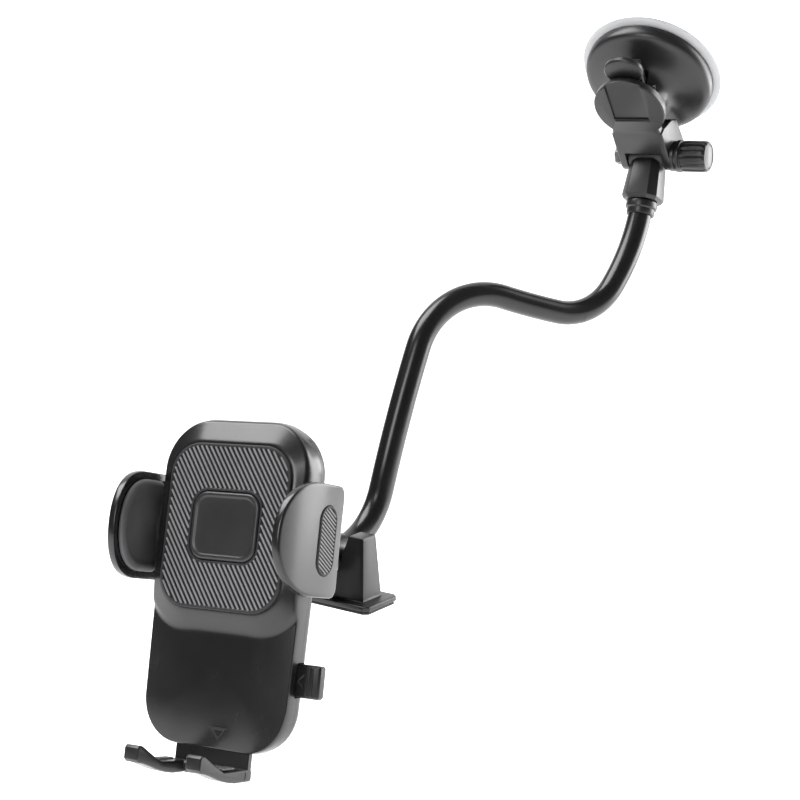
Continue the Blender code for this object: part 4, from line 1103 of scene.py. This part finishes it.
def gripInset():
    rings = []
    for inset, lift in ovalShape["rim"]:
        outline = capsule(ovalShape["halfLong"] - inset, ovalShape["halfWide"] - inset)
        rings.append([(y, z, gripOut + lift) for y, z in outline])
    grip = ringMesh("grip", rings)
    grip.transform(sideTurn)
    return grip


def gripRibs(paint):
    s = ovalShape
    middle = (clampShape["mid"], s["centreZ"])
    lines = ribLines(inOval, middle, s["ribReach"], s["pitch"], s["angle"], gripOut, 0.1, 1.0)
    bars = grown("gripBars", sweepTree, lineMesh("lines", lines),
                 {"Radius": s["rib"], "Sides": 8, "Material": paint})
    bars.transform(sideTurn)
    return bars


def makeClamp(tag):
    turn = halfTurn if tag == "left" else (lambda mesh: mesh)
    side = 1 if tag == "right" else -1
    name = tag + "Clamp"
    body = f"{tag}_clamp"
    # the grip ribs' crests get a painted highlight, paler towards their tops
    paint = ribbedSilicone(name + "Silicone", phoneSide * side, cradleOrigin, gripOut + 0.05, gripOut + 0.4)
    piece(name, turn(clampBody()), glossShell, body, (body,), cradlePlace, 38)
    piece(name + "Pad", turn(clampPad()), padGrey, body, (f"{tag}_clamp_pad",),
          cradlePlace, 45)
    piece(name + "Grip", turn(gripInset()), padDark, body, (f"{tag}_grip_inset",),
          cradlePlace)
    piece(name + "GripRibs", turn(gripRibs(paint)), paint, body, (), cradlePlace, 50)


makeClamp("left")
makeClamp("right")
print("clamps made")

# release button and foot
refined("release_button", "releaseButton", satinBlack, "button", 0.22, 2)
arrowShape = {"tip": 32.6, "open": 35.0, "middle": -53.0, "half": 2.4, "height": -9.1, "line": 0.28}


def arrowPoints():
    s = arrowShape
    return [(s["open"], s["middle"] + s["half"], s["height"]), (s["tip"], s["middle"], s["height"]),
            (s["open"], s["middle"] - s["half"], s["height"])]


arrow = lineMesh("arrow", [arrowPoints()])
arrowBar = grown("arrowBar", sweepTree, arrow,
                 {"Radius": arrowShape["line"], "Sides": 8, "Material": plateGrey})
piece("buttonArrow", arrowBar, plateGrey, "button", (), cradlePlace, 50)
refined("phone_foot", "phoneFoot", satinBlack, "foot", 0.45, 3)
for tag in ("left", "right"):
    refined(f"foot_strip_{tag}", f"footStrip{tag.title()}", padGrey, "foot", 0.3, 2)
print("foot made")

# floor, lights and camera
studio = {"floorDrop": 0.06, "frontAt": -4.0, "wallAt": 1.9, "sweep": 0.7, "wallTop": 4.5, "half": 5.0,
          "pale": (0.90, 0.90, 0.90), "palest": (0.93, 0.93, 0.93), "glow": 0.85,
          "air": (0.95, 0.97, 1.0, 1), "airStrength": 0.12}


def studioMesh():
    z = cadBox[0].z - studio["floorDrop"]
    line = [(studio["frontAt"], z)]
    r = studio["sweep"]
    line += [(studio["wallAt"] - r + r * math.sin(math.radians(a)), z + r - r * math.cos(math.radians(a)))
             for a in range(0, 91, 5)]
    line.append((studio["wallAt"], studio["wallTop"]))
    mesh = bpy.data.meshes.new("studioFloor")
    verts = [(x, y, h) for y, h in line for x in (-studio["half"], studio["half"])]
    faces = [(2 * k, 2 * k + 1, 2 * k + 3, 2 * k + 2) for k in range(len(line) - 1)]
    mesh.from_pydata(verts, [], faces)
    return mesh


def floorPaint():
    paint = Paint("paleFloor")
    cloud = paint.noise(3, 2)
    color = paint.mix(cloud, studio["pale"], studio["palest"])
    paint.shader.inputs["Emission Color"].default_value = (1, 1, 1, 1)
    paint.shader.inputs["Emission Strength"].default_value = studio["glow"]
    return paint.finish(color, 0.9)


floorMesh = studioMesh()
floorMesh.materials.append(floorPaint())
shaded(floorMesh)
floor = spare("studioFloor", floorMesh)

centre = (cadBox[0] + cadBox[1]) / 2
lamps = {
    "rightBack": {"at": (0.62, 0.56, 0.16), "size": (0.34, 0.80), "power": 6.0},
    "hingeGlow": {"at": (0.31, 0.55, 0.04), "size": (0.16, 0.22), "power": 0.8},
    "frontRight": {"at": (-0.04, -1.00, 0.46), "size": (0.40, 0.50), "power": 4.0},
    "topLeft": {"at": (-0.55, -0.20, 0.95), "size": (0.75, 0.75), "power": 15.0},
}
for name, lamp in lamps.items():
    data = bpy.data.lights.new(name, "AREA")
    data.shape = "RECTANGLE"
    data.size, data.size_y = lamp["size"]
    data.energy = lamp["power"]
    ob = bpy.data.objects.new(name, data)
    ob.location = centre + Vector(lamp["at"])
    ob.rotation_mode = "QUATERNION"
    ob.rotation_quaternion = (-Vector(lamp["at"])).to_track_quat("-Z", "Y")
    bpy.context.scene.collection.objects.link(ob)

world = bpy.data.worlds.new("studioAir")
world.use_nodes = True
world.node_tree.nodes["Background"].inputs["Color"].default_value = studio["air"]
world.node_tree.nodes["Background"].inputs["Strength"].default_value = studio["airStrength"]
bpy.context.scene.world = world
bpy.context.scene.view_settings.view_transform = "Standard"

lens = {"at": (0.2720, -0.6999, -0.0079), "azimuth": 30.0, "elevation": 11.0, "length": 72.0,
        "sensor": 36.0}
cameraData = bpy.data.cameras.new("camera")
cameraData.lens = lens["length"]
cameraData.sensor_width = lens["sensor"]
camera = bpy.data.objects.new("camera", cameraData)
a, e = math.radians(lens["azimuth"]), math.radians(lens["elevation"])
camera.location = lens["at"]
camera.rotation_mode = "QUATERNION"
looking = Vector((-math.sin(a) * math.cos(e), math.cos(a) * math.cos(e), -math.sin(e)))
camera.rotation_quaternion = looking.to_track_quat("-Z", "Y")
bpy.context.scene.collection.objects.link(camera)
bpy.context.scene.camera = camera
print("studio made")
